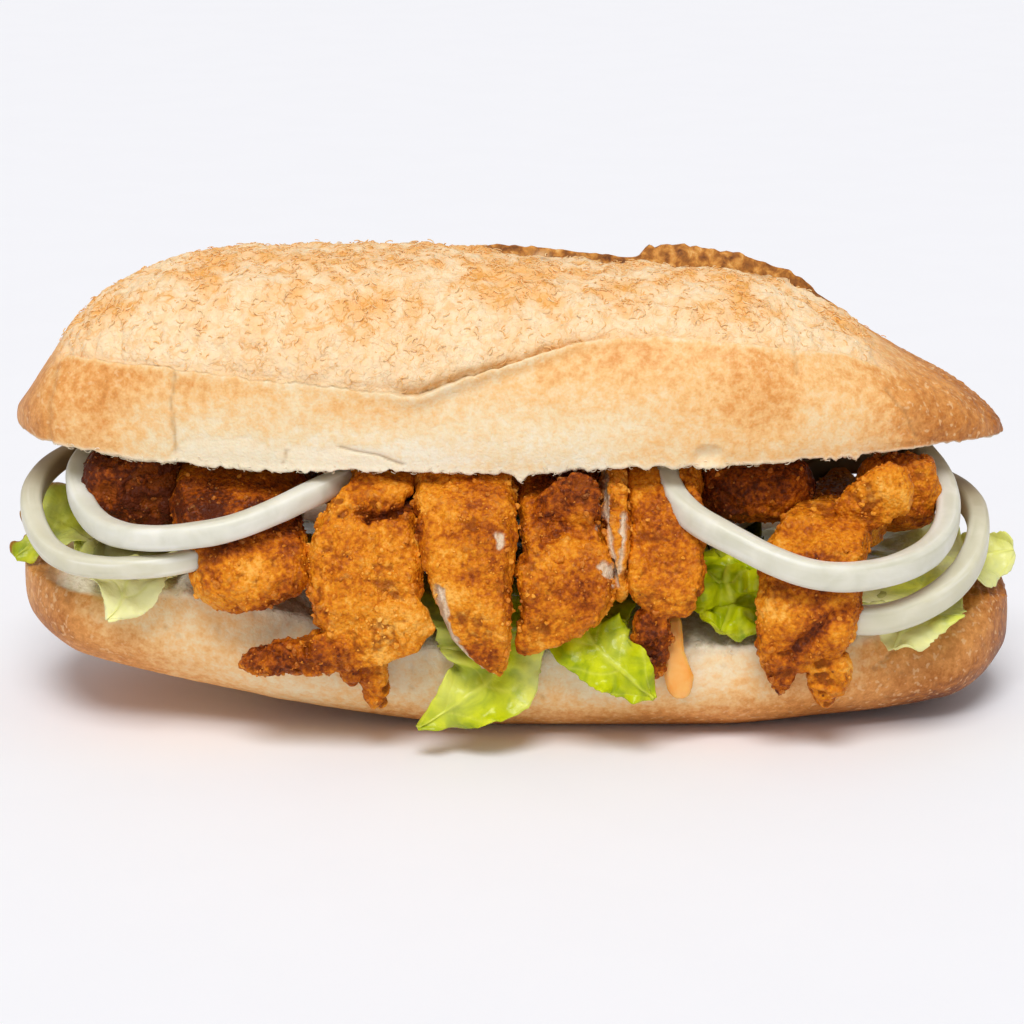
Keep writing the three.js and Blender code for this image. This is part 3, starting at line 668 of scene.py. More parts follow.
above_cut = points[..., 2] - lid_cut(x) - LID["cut_slope"] * points[..., 1]
peel_top = through([[-90, 0], [-84, 7], [-60, 8], [-44, 6.5], [-34, 5], [-26, 0]])
peeled = on_wall * smooth(peel_top(x) + 1.6 * noise(wiggle, 6, 43) - above_cut, -0.6, 1.0)
peeled *= (x > PEEL_FROM) & (x < PEEL_TO)
points -= straight_out * (0.12 * peeled * smooth(above_cut, 0, 2))[..., None]

share = ((np.arange(CUT_POINTS) + 1.0) / (CUT_POINTS + 1))[None, :, None]
cut = points[:, -1:] * (1 - share) + points[:, :1] * share
sag = LID_SAG * end_factor(LID, x) * np.sin(math.pi * share[..., 0]) ** 0.7
holes = 1.5 * np.clip(0.55 - cells(cut, 4.2, 44)[0], 0, 1)
cut[..., 2] += 0.8 * noise(cut, 12, 9) + holes - sag
lid_rings = np.concatenate([points, cut], 1)
print("lid rings:", lid_rings.shape)

# %% [markdown]
# ## How brown the lid is
# The ends met more heat than the middle, and the wall is paler towards the rim, where the
# roll leaned on its neighbour. Two curves give the browning at the top and at the foot of
# the front wall, and the wall's height blends them.

# %% Lid browning
bake_high = through([
    [-135, 0.74], [-122, 0.72], [-104, 0.72], [-88, 0.54], [-70, 0.45], [-30, 0.38], [0, 0.34],
    [16, 0.44], [40, 0.56], [62, 0.62], [84, 0.54], [96, 0.66], [106, 0.84], [122, 0.98], [134, 1.08]])
bake_low = through([
    [-135, 0.72], [-122, 0.64], [-104, 0.52], [-90, 0.28], [-80, 0.1], [-30, 0.04], [0, 0.12],
    [30, 0.24], [55, 0.36], [84, 0.48], [98, 0.55], [108, 0.88], [134, 1.02]])
height_share = np.clip(above_cut / np.maximum(goal, 1), 0, 1)
bake = bake_low(x) + (bake_high(x) - bake_low(x)) * smooth(height_share, 0.1, 0.95)
bake = np.where(on_back > 0, 0.55 + 0.25 * smooth(x, 60, 120), bake)
ear_mask = on_back * (1 - smooth(past_far, 3, 30))
ear_mask += on_crumb * smooth(past_far + 4 * noise(points, 5, 82), -6, -0.5)
ear_mask = ear_mask * smooth(ear_height(x), 0.2, 1.2)
toast = 0.6 * noise(turned, 14, 83) + 0.7 * noise(turned, 5, 84) + 0.5 * noise(turned, 2.2, 85)
toast = smooth(toast, -0.6, 0.85) * (0.3 + 0.7 * smooth(across, 0.08, 0.4))
crest = on_wall * fading(past_lip, 1.6) * opened
bake = bake * (1 - crest * 0.35) + 0.12 * noise(points, 22, 45)

lid_mesh = facing_out(skin("dressed_lid", lid_rings))
crumb_mask = on_crumb * opened * smooth(past_lip, -0.2, 0.8)
torn = 0.75 * on_wall * fading(from_rim, 1.1)
showing = crumb_mask * (1 - ear_mask) * (0.15 + 0.85 * toast) * smooth(past_lip, 0.3, 2.5)
shade = on_crumb * opened * fading(past_lip, 2) * smooth(lip_proud(x), 0.7, 1.5)
# The crack layer, with half of each crease, is painted darker as shade by the bread finish.
paint_rings(
    lid_mesh, angle.shape, CUT_POINTS, bake=(bake, 0.1), crumb=(crumb_mask, 0), inner=(torn, 1),
    toast=(toast, 0), showing=(showing, 0), frayed=(torn * opened, 0),
    crack=(np.clip(crack + 0.5 * crease, 0, 1), 0), ear=(ear_mask, 0),
    peel=(np.clip(0.6 * peeled + 0.5 * pocket, 0, 1), 0), shade=(shade, 0))
print(f"lid: browning from {bake.min():.2f} to {bake.max():.2f}")

# %% [markdown]
# ## The lower half
# The same way of building serves the lower half: a hull whose underside curls up towards the
# ends, a ragged rim, and a cut face of open crumb that swells a little under the filling.
# Towards the ends the crust rolls in over the rim, so there the cut face is crust as well.

# %% Lower half
BASE_RINGS, HULL_POINTS, BED_POINTS = 370, 122, 34
RISE_AT, RISE = -63, 1.8  # where the front rim stands a little higher
BASE_CRACKS = [
    [[95.4, 19.5], [98.5, 21.7], [101.6, 24.5]],
    [[-111.8, 42.9], [-108, 38.8], [-101.5, 36.1]],
]

x = places_along(BASE, BASE_RINGS)
angle = evenly(hull, x, base_lip(x), math.pi - base_lip(x), HULL_POINTS)
points = hull(x, angle)
free = smooth(points[..., 2], 0.5, 6)
straight_out = -outward(hull, x, angle)
points[..., 1] += 0.9 * free * noise(points, 28, 11) * np.cos(angle)
lift = 0.18 * noise(points, 8, 61) + 0.07 * noise(points, 2.2, 62)
near_pore, pore_number = cells(points, 3.4, 63)
pores = np.clip(0.32 - near_pore, 0, 1) * (pore_number > 0.55)
wiggle = shaken(points, 0.6, 3, 64)
front = smooth(-points[..., 1], 4, 16)
crack = np.max([fading(near_line(wiggle, line), 0.5) for line in BASE_CRACKS], 0) * front
from_rim = (angle - base_lip(x)) * RADIUS
to_rim = (math.pi - base_lip(x) - angle) * RADIUS
rim = fading(np.minimum(from_rim, to_rim), 2.6)
lift += rim * (0.8 * noise(points, 2.6, 67) + 0.6 * noise(points, 1.3, 68)) - 0.9 * crack - 1.2 * pores
points = points + straight_out * (lift * free)[..., None]
points[..., 2] += rim * (0.7 * noise(points * [1, 0.3, 0.3], 5, 69))
points[..., 2] += RISE * fading(from_rim, 9) * fading(x - RISE_AT, 15)
points[..., 2] = np.maximum(points[..., 2], -MEASURED_ORIGIN[2])

share = ((np.arange(BED_POINTS) + 1.0) / (BED_POINTS + 1))[None, :, None]
bed = points[:, -1:] * (1 - share) + points[:, :1] * share
bed[..., 2] += BASE_SWELL * end_factor(BASE, x) * np.sin(math.pi * share[..., 0]) ** 0.7
bed[..., 2] += 0.7 * noise(bed, 12, 13) - 1.5 * np.clip(0.55 - cells(bed, 3.6, 70)[0], 0, 1)
base_bake = through([
    [-133.5, 0.86], [-118, 0.74], [-100, 0.6], [-84, 0.42], [-60, 0.26], [-20, 0.2], [30, 0.26],
    [60, 0.34], [84, 0.48], [96, 0.66], [110, 0.84], [136.5, 1.04]])
pale_rim = through([[-133.5, 0], [-100, 0], [-96, 1], [86, 1], [98, 0.4], [110, 0], [136.5, 0]])
open_bed = between(x, -126, -116, 112, 121)
# Darker near the table, and darker towards the foot of the wall and paler towards its top.
under_bake = 0.3 * (1 - smooth(points[..., 2], 2, 16))
foot_share = (points[..., 2] - base_underside(x)) / (base_cut(x) - base_underside(x))
bake = base_bake(x) + under_bake + 0.14 * noise(points, 20, 71) + 0.16 - 0.26 * smooth(foot_share, 0.1, 0.9)
base_mesh = facing_out(skin("dressed_base", np.concatenate([points, bed], 1)))
pale = rim * pale_rim(x)
# The crack layer here holds cracks and pits, painted darker as shade by the bread finish.
paint_rings(
    base_mesh, angle.shape, BED_POINTS, bake=(bake, base_bake(x)), crumb=(0, 0),
    inner=(0.8 * pale, open_bed), ear=(0, 0), shade=(0, 0), toast=(0, 0),
    frayed=(pale * smooth(noise(points, 5, 89), -0.4, 0.5), 0),
    crack=(np.clip(crack + pores * 3, 0, 1), 0), peel=(0.5 * pale, 0))
print("base rings:", points.shape)

# %% [markdown]
# ## Bread
# Crust goes from cream through gold to brown as it bakes, so one ramp read by the browning
# layer colours both halves. The burst crumb is cream with toasted fibres: thin curly lines
# found where a twisted noise crosses its middle value. Freckles are small pale blisters.

# %% Bread finish
def bread_finish():
    f = Finish("bread")
    bake, crumb, inner = f.read("bake"), f.read("crumb"), f.read("inner")
    patch, grain, fine = f.noise(16, 3), f.noise(2.2, 4), f.noise(0.7, 2)
    level = f.total(bake, f.step(patch, 0.25, 0.75, -0.1, 0.1), f.step(grain, 0.25, 0.75, -0.12, 0.12),
                    f.step(fine, 0.3, 0.7, -0.05, 0.05))
    crust = f.ramp(f.product(level, 0.8), [
        (0.0, (0.89, 0.8, 0.61)), (0.2, (0.88, 0.68, 0.4)), (0.4, (0.87, 0.51, 0.2)),
        (0.56, (0.74, 0.32, 0.08)), (0.8, (0.47, 0.155, 0.022)), (1.0, (0.19, 0.05, 0.01))])
    freckle = f.product(f.step(f.noise(1.7, 1, shift=0.9), 0.6, 0.7), f.step(bake, 0.45, 0.7, 0, 0.45))
    crust = f.mix(freckle, crust, (0.9, 0.62, 0.33))
    crust = f.mix(f.product(f.read("peel"), 0.9), crust,
                  f.ramp(patch, [(0.3, (0.86, 0.72, 0.48)), (0.6, (0.94, 0.83, 0.62))]))

    strand, hair = f.off_middle(f.noise(6.5, 2, 0.5)), f.off_middle(f.noise(3.4, 1, 0.7, shift=0.3))
    lines = f.math("MAXIMUM", f.step(strand, 0.034, 0.01), f.step(hair, 0.042, 0.012, 0, 0.85))
    toast = f.read("toast")
    lines = f.product(lines, f.step(f.noise(3, 2, shift=0.7), 0.38, 0.52), f.step(toast, 0, 0.8, 0.35, 1.0))
    crumb_colour = f.mix(toast, (0.93, 0.72, 0.46), (0.91, 0.46, 0.14))
    crumb_colour = f.mix(f.step(grain, 0.3, 0.6, 0.45, 0), crumb_colour, (0.89, 0.53, 0.21))
    crumb_colour = f.mix(f.product(lines, 0.8), crumb_colour, (0.78, 0.35, 0.06))
    shade = f.product(f.read("shade"), f.step(f.noise(2.2, 3, shift=0.4), 0.38, 0.6, 0.3, 1))
    crumb_colour = f.mix(shade, crumb_colour, (0.62, 0.27, 0.04))

    ear_colour = f.ramp(f.noise(2.6, 5, 0.4), [
        (0.32, (0.15, 0.045, 0.01)), (0.47, (0.4, 0.14, 0.022)), (0.6, (0.68, 0.29, 0.055)),
        (0.72, (0.85, 0.5, 0.18))])
    inner_colour = f.ramp(f.noise(1.8, 4), [(0.3, (0.74, 0.62, 0.43)), (0.6, (0.92, 0.83, 0.65))])

    colour = f.mix(crumb, crust, crumb_colour)
    colour = f.mix(f.read("ear"), colour, ear_colour)
    colour = f.mix(inner, colour, inner_colour)
    # Cracks, creases and pits painted darker: painted shade in the recesses.
    colour = f.mix(f.product(f.read("crack"), 0.5), colour, (0.42, 0.22, 0.08))
    rough = f.step(f.total(crumb, inner, f.read("peel")), 0, 1, 0.52, 0.85)
    flaky = f.product(f.noise(2.0, 3, 1.2), f.math("MAXIMUM", crumb, inner), 1.3)
    height = f.total(f.product(grain, 0.4), f.product(fine, 0.35), f.product(lines, crumb, 0.3), flaky)
    return f.finish(colour, rough, f.bump(height, 0.6, 0.8), Specular_IOR_Level=0.3,
                    Subsurface_Weight=0.06, Subsurface_Scale=0.002)


bread = bread_finish()
finished(lid_mesh, "bun_top", bread)
finished(base_mesh, "bun_bottom", bread)

# %% [markdown]
# ## Breaded cutlets
# Fried breading is lumpy at several sizes: bulges of a centimetre with creases between them,
# knobs, and a skin of separate crumbs. Each packed strip is copied, turned into an even fine
# mesh by a voxel remesh, smoothed, and then pushed in and out by patterns of each size.
# Inside the sandwich nobody sees that skin, so there the mesh is thinned again.

# %% Even, fine copies
WEIGHT_STEPS = 10


def evaluated_copy(thing):
    """The object's mesh with its modifiers applied, as a new mesh."""
    graph = bpy.context.evaluated_depsgraph_get()
    return bpy.data.meshes.new_from_object(thing.evaluated_get(graph), depsgraph=graph)


def with_modifiers(mesh, modifiers, groups=None):
    """Runs a mesh through modifiers, given as (type, settings)."""
    work = new_object("work", mesh)
    for name, weights in (groups or {}).items():
        group = work.vertex_groups.new(name=name)
        for level in range(1, WEIGHT_STEPS + 1):
            chosen = np.nonzero(np.round(weights * WEIGHT_STEPS) == level)[0]
            group.add(chosen.tolist(), level / WEIGHT_STEPS, "REPLACE")
    for kind, settings in modifiers:
        modifier = work.modifiers.new(kind, kind)
        for key, value in settings.items():
            setattr(modifier, key, value)
    made = evaluated_copy(work)
    bpy.data.objects.remove(work)
    return made


def even_copy(node, voxel, passes):
    """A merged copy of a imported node, with even small faces."""
    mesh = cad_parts[node].data.copy()
    work = bmesh.new()
    work.from_mesh(mesh)
    bmesh.ops.remove_doubles(work, verts=work.verts, dist=1e-6)
    work.to_mesh(mesh)
    work.free()
    return with_modifiers(mesh, [
        ("REMESH", {"mode": "VOXEL", "voxel_size": voxel, "use_smooth_shade": True}),
        ("SMOOTH", {"factor": 0.5, "iterations": passes})])


# %% [markdown]
# ## Which places are dark, light or bare
# Frying colours each strip unevenly, and shade is painted on as well. A short table gives every
# strip its overall tone and seed; the dark tones of the strips far back under the lid are painted
# shade. Oval spots make single places darker or lighter: some are real frying patches, and those on
# the strips' tops under the lid are painted shade. Lines mark where the breading is folded, with
# painted shade in the fold, and where the knife left white meat showing.

# %% Tones and painted shade of the strips
# Each strip's overall tone: real frying, and for the strips far back under the lid, painted shade.
STRIPS = {
    "cutlet_far_left": {"tone": 0.72, "seed": 1, "curly": 1.0},
    "cutlet_left": {"tone": 0.45, "seed": 2},
    "cutlet_left_front": {"tone": 0.35, "seed": 3},
    "cutlet_middle": {"tone": 0.36, "seed": 4},
    "cutlet_centre": {"tone": 0.46, "seed": 5},
    "cutlet_slice": {"tone": 0.35, "seed": 10},
    "cutlet_right": {"tone": 0.45, "seed": 6},
    "cutlet_right_back": {"tone": 0.7, "seed": 7, "curly": 0.6},
    "cutlet_far_right": {"tone": 0.42, "seed": 8},
    "cutlet_end": {"tone": 0.55, "seed": 9, "curly": 0.4},
}
# [x, z] of the middle, [half width, half height], change of tone. The spots that darken the strips' tops
# under the lid are painted shade; the others are patches of deeper or lighter frying.
TONE_SPOTS = [
    ([-72, 62], [26, 9], 0.5), ([-55, 27], [21, 8], 0.16), ([-58, 40], [9, 10], 0.2),
    ([-66, 46], [10, 8], -0.1),
    ([-27.5, 38.5], [8, 7], -0.4), ([-56, 28], [18, 6], 0.28), ([-38, 20], [7, 9], 0.3),
    ([-28, 62], [8, 5], 0.25), ([17, 70], [7, 6], 0.25), ([10, 67], [6, 8], 0.3),
    ([13, 44], [16, 8], 0.12), ([37, 28], [7, 12], 0.25), ([42, 44], [10, 8], 0.12),
    ([77, 49], [14, 6], 0.35), ([96, 66], [8, 6], -0.1), ([82, 22], [8, 8], -0.12),
    ([70, 22], [5, 7], 0.15),
]
# [x, z] of the middle, [half width, half height]: where the breading is crisp and curled
CRISP_SPOTS = [([-57, 27], [22, 8]), ([-38, 17], [8, 10]), ([37, 27], [8, 12]), ([21, 69], [9, 8]),
               ([-35, 66], [12, 5]), ([-55, 42], [8, 10]), ([76, 22], [12, 10]), ([50, 48], [7, 12])]
# line in [x, z], half width, depth: a fold or hole in the breading, which the tone also paints darker as
# shade
FOLDS = {
    "cutlet_left_front": [([[-37, 64], [-31, 65], [-25.5, 66.4]], 1.5, 3.2)],
    "cutlet_far_right": [([[85.8, 41.7], [78.2, 36.3], [71.9, 29]], 2.2, 1.6)],
    "cutlet_centre": [([[8, 58.5], [13, 60.5], [20, 59.5]], 1.6, 1.3)],
}
# line in [x, z], half width, for the strip it belongs to
MEAT = {
    "cutlet_middle": [([[-18.8, 47], [-17.2, 38], [-13.6, 31], [-8.6, 25], [-5, 22.5]], 1.3),
                      ([[-3.4, 61], [-2.9, 59]], 1.1)],
    "cutlet_centre": [([[22.3, 68.6], [23.5, 65], [22.7, 61.5]], 0.6),
                      ([[23, 52.2], [25.2, 51], [27.5, 47.8]], 1.3)],
    "cutlet_slice": [([[28.8, 64], [28.4, 57], [27.6, 50]], 0.6),
                     ([[24.2, 72], [24.4, 66], [25.6, 56], [27, 47]], 0.6)],
}

# %% [markdown]
# ## The relief of a strip
# Several patterns add up to one height at every corner, and each corner then moves that far
# straight out. Bulges and chunks are round, so their height falls with the distance to a noise's
# middle or to a cell's point. Where the breading is crisp it also curls. Folds and bare meat sink
# in. The same patterns colour the strip with painted light: what stands proud is painted lighter,
# as highlight, and hollows and folds are painted darker, as shade.

# %% Cutlet relief
VOXEL = 0.00052
SMOOTHING = 8
KEPT_SHARE = 0.55  # of the faces, where the strip lies hidden
HIDDEN = (-30, -20, 36, 42)  # y in mm: hidden from view between the front and the back
SWOLLEN = (-42, -30, 40, 46)
SWOLLEN_BY = 1.2
BULGE, CURL, CHUNK, CRISP_CHUNK, MEAT_SUNK = 1.15, 2.1, 1.5, 0.8, 0.55


def cutlet(node, tone, seed, curly=0.0):
    mesh = even_copy(node, VOXEL, SMOOTHING)
    p, out = millimetres(corners_of(mesh, "co")), corners_of(mesh, "normal")
    hidden, frontness = between(p[:, 1], *HIDDEN), smooth(-p[:, 1], 25, 40)
    bulges = 0.55 - np.abs(noise(p, 8, seed)) - 0.45 * np.abs(noise(p, 3.8, seed + 20))
    for at, reach in CRISP_SPOTS:
        curly = np.maximum(curly, np.sqrt(spot(p, at, reach)) * frontness)
    swirl = shaken(p, 1.4, 5, seed + 30)
    near_chunk, chunk_number = cells(swirl, 3.2, seed + 70)
    chunks = np.clip(0.62 - near_chunk, -0.15, 1) * (0.75 + 0.5 * chunk_number)
    curls = 0.3 - np.abs(noise(swirl, 2.9, seed + 33))
    near_crumb, number = cells(p, 1.55, seed)
    crumbs = (0.55 - near_crumb) * (0.75 + 0.5 * number)
    meat = np.zeros(len(p))
    wiggle = shaken(p, 0.7, 1.6, 34)
    for line, reach in MEAT.get(node, []):
        found = near_line(wiggle, line)
        meat = np.maximum(meat, smooth(reach - found, -0.35, 0.35) * smooth(-p[:, 1], 36, 42))
    breading = 1 - meat
    fold = np.zeros(len(p))
    for line, reach, deep in FOLDS.get(node, []):
        fold = np.maximum(fold, deep * fading(near_line(wiggle, line), reach))
    fold *= frontness
    rough = smooth(noise(p, 9, seed + 60) + 0.6 * noise(p, 4, seed + 61), -0.45, 0.55)
    lift = BULGE * bulges * (1 - 0.6 * curly) + CURL * curly * curls
    lift = lift + (CHUNK * rough + CRISP_CHUNK * curly) * chunks
    lift = lift + (0.25 + 0.45 * rough + 0.3 * curly) * crumbs
    lift = lift * breading - MEAT_SUNK * meat + 0.15 * noise(p, 1.0, seed + 40) * breading - fold
    swollen = SWOLLEN_BY * between(p[:, 1], *SWOLLEN)
    set_points(mesh, metres(p + out * (lift * (1 - 0.7 * hidden) + swollen)[:, None]))
    patches = 0.22 * noise(p, 13, seed + 50) + 0.2 * noise(p, 5, seed + 51)
    # The tone carries painted shade too: folds and holes are darker, and so are the spots under the lid.
    level = tone + patches + 0.25 * fold + 0.14 * (rough - 0.5) + 0.12 * curly
    for at, reach, change in TONE_SPOTS:
        level = level + change * spot(p, at, reach) ** 0.7 * smooth(-p[:, 1], 15, 35)
    # How proud a place is; the finish paints proud places lighter as highlight and low ones darker as shade.
    peak = 0.38 + 0.7 * crumbs + 0.5 * bulges + 0.9 * (rough + curly) * chunks + 1.2 * curly * curls
    paint(mesh, tone=level, meat=meat, peak=np.clip(peak, 0, 1),
          grain=number, showing=(1 - hidden) * breading * (0.25 + 0.75 * rough))
    thin = ("DECIMATE", {"ratio": KEPT_SHARE, "vertex_group": "hidden", "vertex_group_factor": 10.0})
    return softly_shaded(with_modifiers(mesh, [thin], {"hidden": hidden}))


# %% [markdown]
# ## Breading
# The colour runs from light gold to reddish brown with the tone, which also holds painted shade,
# and each crumb differs a little from the next. Hollows are painted darker as shade, and proud
# crumb tips paler, partly the crumbs' own colour and partly painted highlight. Bare meat is
# off-white with fine fibres. Oil gives small sharp glints, so the roughness varies from place to place.

# %% Breading finish
def breading_finish():
    f = Finish("breading")
    tone, peak, number = f.read("tone"), f.read("peak"), f.read("grain")
    small, tiny = f.noise(1.3, 3), f.noise(0.5, 2)
    level = f.total(tone, f.step(small, 0.25, 0.75, -0.2, 0.2), f.product(number, 0.07))
    colour = f.ramp(level, [
        (0.0, (0.9, 0.43, 0.07)), (0.25, (0.78, 0.27, 0.01)), (0.45, (0.61, 0.17, 0.003)),
        (0.65, (0.4, 0.085, 0.002)), (0.85, (0.2, 0.035, 0.001)), (1.0, (0.09, 0.014, 0.001))])
    # Paler crumb tips on the proud places: partly the crumbs' own colour, partly painted highlight.
    pale = f.product(f.step(small, 0.45, 0.62), f.step(peak, 0.55, 0.95, 0, 0.5),
                     f.step(level, 0.8, 0.45))
    colour = f.mix(pale, colour, (0.92, 0.46, 0.08))
    # Painted shade in the hollows between crumbs and lumps.
    colour = f.mix(f.step(peak, 0.42, 0.08, 0, 0.8), colour, (0.24, 0.05, 0.002))
    burnt = f.step(f.cells(7.5), 0.07, 0.03, 0, 0.85)
    colour = f.mix(burnt, colour, (0.1, 0.02, 0.005))
    fibres = f.noise(1.0, 3, 0.4, stretch=(1, 0.3, 0.3))
    meat_colour = f.ramp(fibres, [(0.3, (0.52, 0.32, 0.17)), (0.6, (0.76, 0.59, 0.42))])
    colour = f.mix(f.read("meat"), colour, meat_colour)
    rough = f.step(f.noise(1.8, 3, shift=0.2), 0.35, 0.65, 0.34, 0.7)
    height = f.total(f.product(small, 0.6), f.product(tiny, 0.5), f.product(f.cells(0.8), -0.8))
    return f.finish(colour, rough, f.bump(height, 0.45, 0.9), Specular_IOR_Level=0.16,
                    Subsurface_Weight=0.08, Subsurface_Scale=0.0015)


breading = breading_finish()
cutlet_meshes = []
for node, facts in STRIPS.items():
    made = cutlet(node, **facts)
    cutlet_meshes.append(made)
    finished(made, node, breading)

# %% [markdown]
# ## Loose crumbs
# Breadcrumbs stick out of the crust one by one. Geometry Nodes scatter them: points on the
# strips' faces, a small rough chunk on each point, turned and stretched at random. The tree
# takes its sizes from named inputs and a fixed seed, and ends in Realize Instances and Set
# Material, so that the crumbs become plain mesh that can be exported.

# %% What every scatter needs
FULL_TURN = 6.28


def begin_scatter(name, where, sizes, counts):
    """A tree with named inputs, and points spread where the layer `where` is strong."""
    tree = bpy.data.node_groups.new(name, "GeometryNodeTree")
    kinds = {"Geometry": "Geometry"} | dict.fromkeys(sizes, "Float") | dict.fromkeys(counts, "Int")
    for label, kind in kinds.items():
        tree.interface.new_socket(label, in_out="INPUT", socket_type="NodeSocket" + kind)
    tree.interface.new_socket("Geometry", in_out="OUTPUT", socket_type="NodeSocketGeometry")
    given = add_node(tree, "NodeGroupInput").outputs
    layer = add_node(tree, "GeometryNodeInputNamedAttribute", {"Name": where}, data_type="FLOAT")
    density = add_node(tree, "ShaderNodeMath", {0: given[sizes[0]], 1: result(layer)},
                       operation="MULTIPLY")
    spread = add_node(tree, "GeometryNodeDistributePointsOnFaces",
                      {"Mesh": given["Geometry"], "Density": result(density), "Seed": given["Seed"]})
    return tree, given, spread.outputs


def drawn(tree, given, low, high):
    """A number, or three of them, drawn anew for each point."""
    kind = "FLOAT_VECTOR" if isinstance(low, tuple) else "FLOAT"
    return result(add_node(tree, "FunctionNodeRandomValue",
                           {"Min": low, "Max": high, "Seed": given["Seed"]}, data_type=kind))


def on_points(tree, given, points, shape, turn, size, shades):
    """A copy of the shape on each point, each with a shade of its own, made real."""
    placed = add_node(tree, "GeometryNodeInstanceOnPoints",
                      {"Points": points, "Instance": shape, "Rotation": turn, "Scale": size})
    shaded = add_node(tree, "GeometryNodeStoreNamedAttribute",
                      {"Geometry": result(placed), "Name": "grain",
                       "Value": drawn(tree, given, *shades)}, data_type="FLOAT", domain="INSTANCE")
    return result(add_node(tree, "GeometryNodeRealizeInstances", {"Geometry": result(shaded)}))


def end_scatter(tree, geometry, material):
    dressed = add_node(tree, "GeometryNodeSetMaterial", {"Geometry": geometry, "Material": material})
    add_node(tree, "NodeGroupOutput", {"Geometry": result(dressed)})
    return tree


# %% Crumb scatter tree
def crumb_tree(material):
    tree, given, spread = begin_scatter(
        "crumb scatter", "showing",
        ["Crumbs per square metre", "Smallest", "Largest", "Raggedness"], ["Seed", "Rounds"])
    chunk = add_node(tree, "GeometryNodeMeshIcoSphere", {"Radius": 1.0, "Subdivisions": given["Rounds"]})
    turn = drawn(tree, given, (0, 0, 0), (FULL_TURN, FULL_TURN, FULL_TURN))
    size = drawn(tree, given, given["Smallest"], given["Largest"])
    stretch = drawn(tree, given, (0.6, 0.6, 0.45), (1.3, 1.1, 0.9))
    scale = add_node(tree, "ShaderNodeVectorMath", {0: stretch, 1: size}, operation="MULTIPLY")
    chunks = on_points(tree, given, spread["Points"], result(chunk), turn, result(scale), (-1.0, 1.0))
    pattern = add_node(tree, "ShaderNodeTexNoise", {"Scale": 900.0, "Detail": 2.0})
    centred = add_node(tree, "ShaderNodeVectorMath",
                       {0: pattern.outputs["Color"], 1: (0.5, 0.5, 0.5)}, operation="SUBTRACT")
    pushed = add_node(tree, "ShaderNodeVectorMath",
                      {0: result(centred), "Scale": given["Raggedness"]}, operation="SCALE")
    ragged = add_node(tree, "GeometryNodeSetPosition", {"Geometry": chunks, "Offset": result(pushed)})
    return end_scatter(tree, result(ragged), material)


def crumb_finish():
    f = Finish("loose crumbs")
    # The strips' tone, painted shade included, colours the crumbs on them too.
    level = f.total(f.product(f.read("tone"), 0.8), f.product(f.read("grain"), 0.2))
    colour = f.ramp(level, [
        (0.0, (0.92, 0.5, 0.1)), (0.2, (0.84, 0.34, 0.025)), (0.42, (0.66, 0.2, 0.007)),
        (0.65, (0.42, 0.095, 0.003)), (0.95, (0.15, 0.025, 0.002))])
    colour = f.mix(f.step(f.noise(0.6, 2), 0.4, 0.7, 0, 0.2), colour, (0.94, 0.55, 0.16))
    return f.finish(colour, 0.5, f.bump(f.noise(0.4, 2), 0.15, 0.7), Specular_IOR_Level=0.2)


# %% Scatter the crumbs
TRIANGLE_LIMIT = 200000


def scatter(name, tree, settings, meshes):
    """What the tree scatters over the meshes, as one plain mesh."""
    work = bmesh.new()
    for mesh in meshes:
        work.from_mesh(mesh)
    carrier_mesh = bpy.data.meshes.new("carrier")
    work.to_mesh(carrier_mesh)
    work.free()
    carrier = new_object("carrier", carrier_mesh)
    modifier = carrier.modifiers.new("scatter", "NODES")
    modifier.node_group = tree
    for item in tree.interface.items_tree:
        if item.in_out == "INPUT" and item.name in settings:
            modifier[item.identifier] = settings[item.name]
    mesh = evaluated_copy(carrier)
    mesh.name = name
    bpy.data.objects.remove(carrier)
    piece = new_object(name, mesh)
    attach(piece, "root")
    assert len(mesh.polygons) < TRIANGLE_LIMIT, name
    print(f"{name}: {len(mesh.polygons)} triangles")
    return piece


crumbs = crumb_tree(crumb_finish())
scatter("crumbs_lumpy", crumbs,
        {"Crumbs per square metre": 2.0e4, "Smallest": 0.0006, "Largest": 0.0012,
         "Raggedness": 0.0016, "Seed": 2, "Rounds": 2}, cutlet_meshes)
scatter("crumbs_coarse", crumbs,
        {"Crumbs per square metre": 1.2e5, "Smallest": 0.0003, "Largest": 0.0006,
         "Raggedness": 0.0006, "Seed": 4, "Rounds": 1}, cutlet_meshes)

# %% [markdown]
# ## Toasted fibres on the lid
# Where the slash burst, torn strands of crumb stand up and toast first. They are scattered the
# same way: a short arc of a thin tube that tapers at both ends, laid along the surface, turned
# at random and tipped a little. They are thickest where the toast layer is strongest. Shorter,
# paler ones fray the torn rims of both halves.

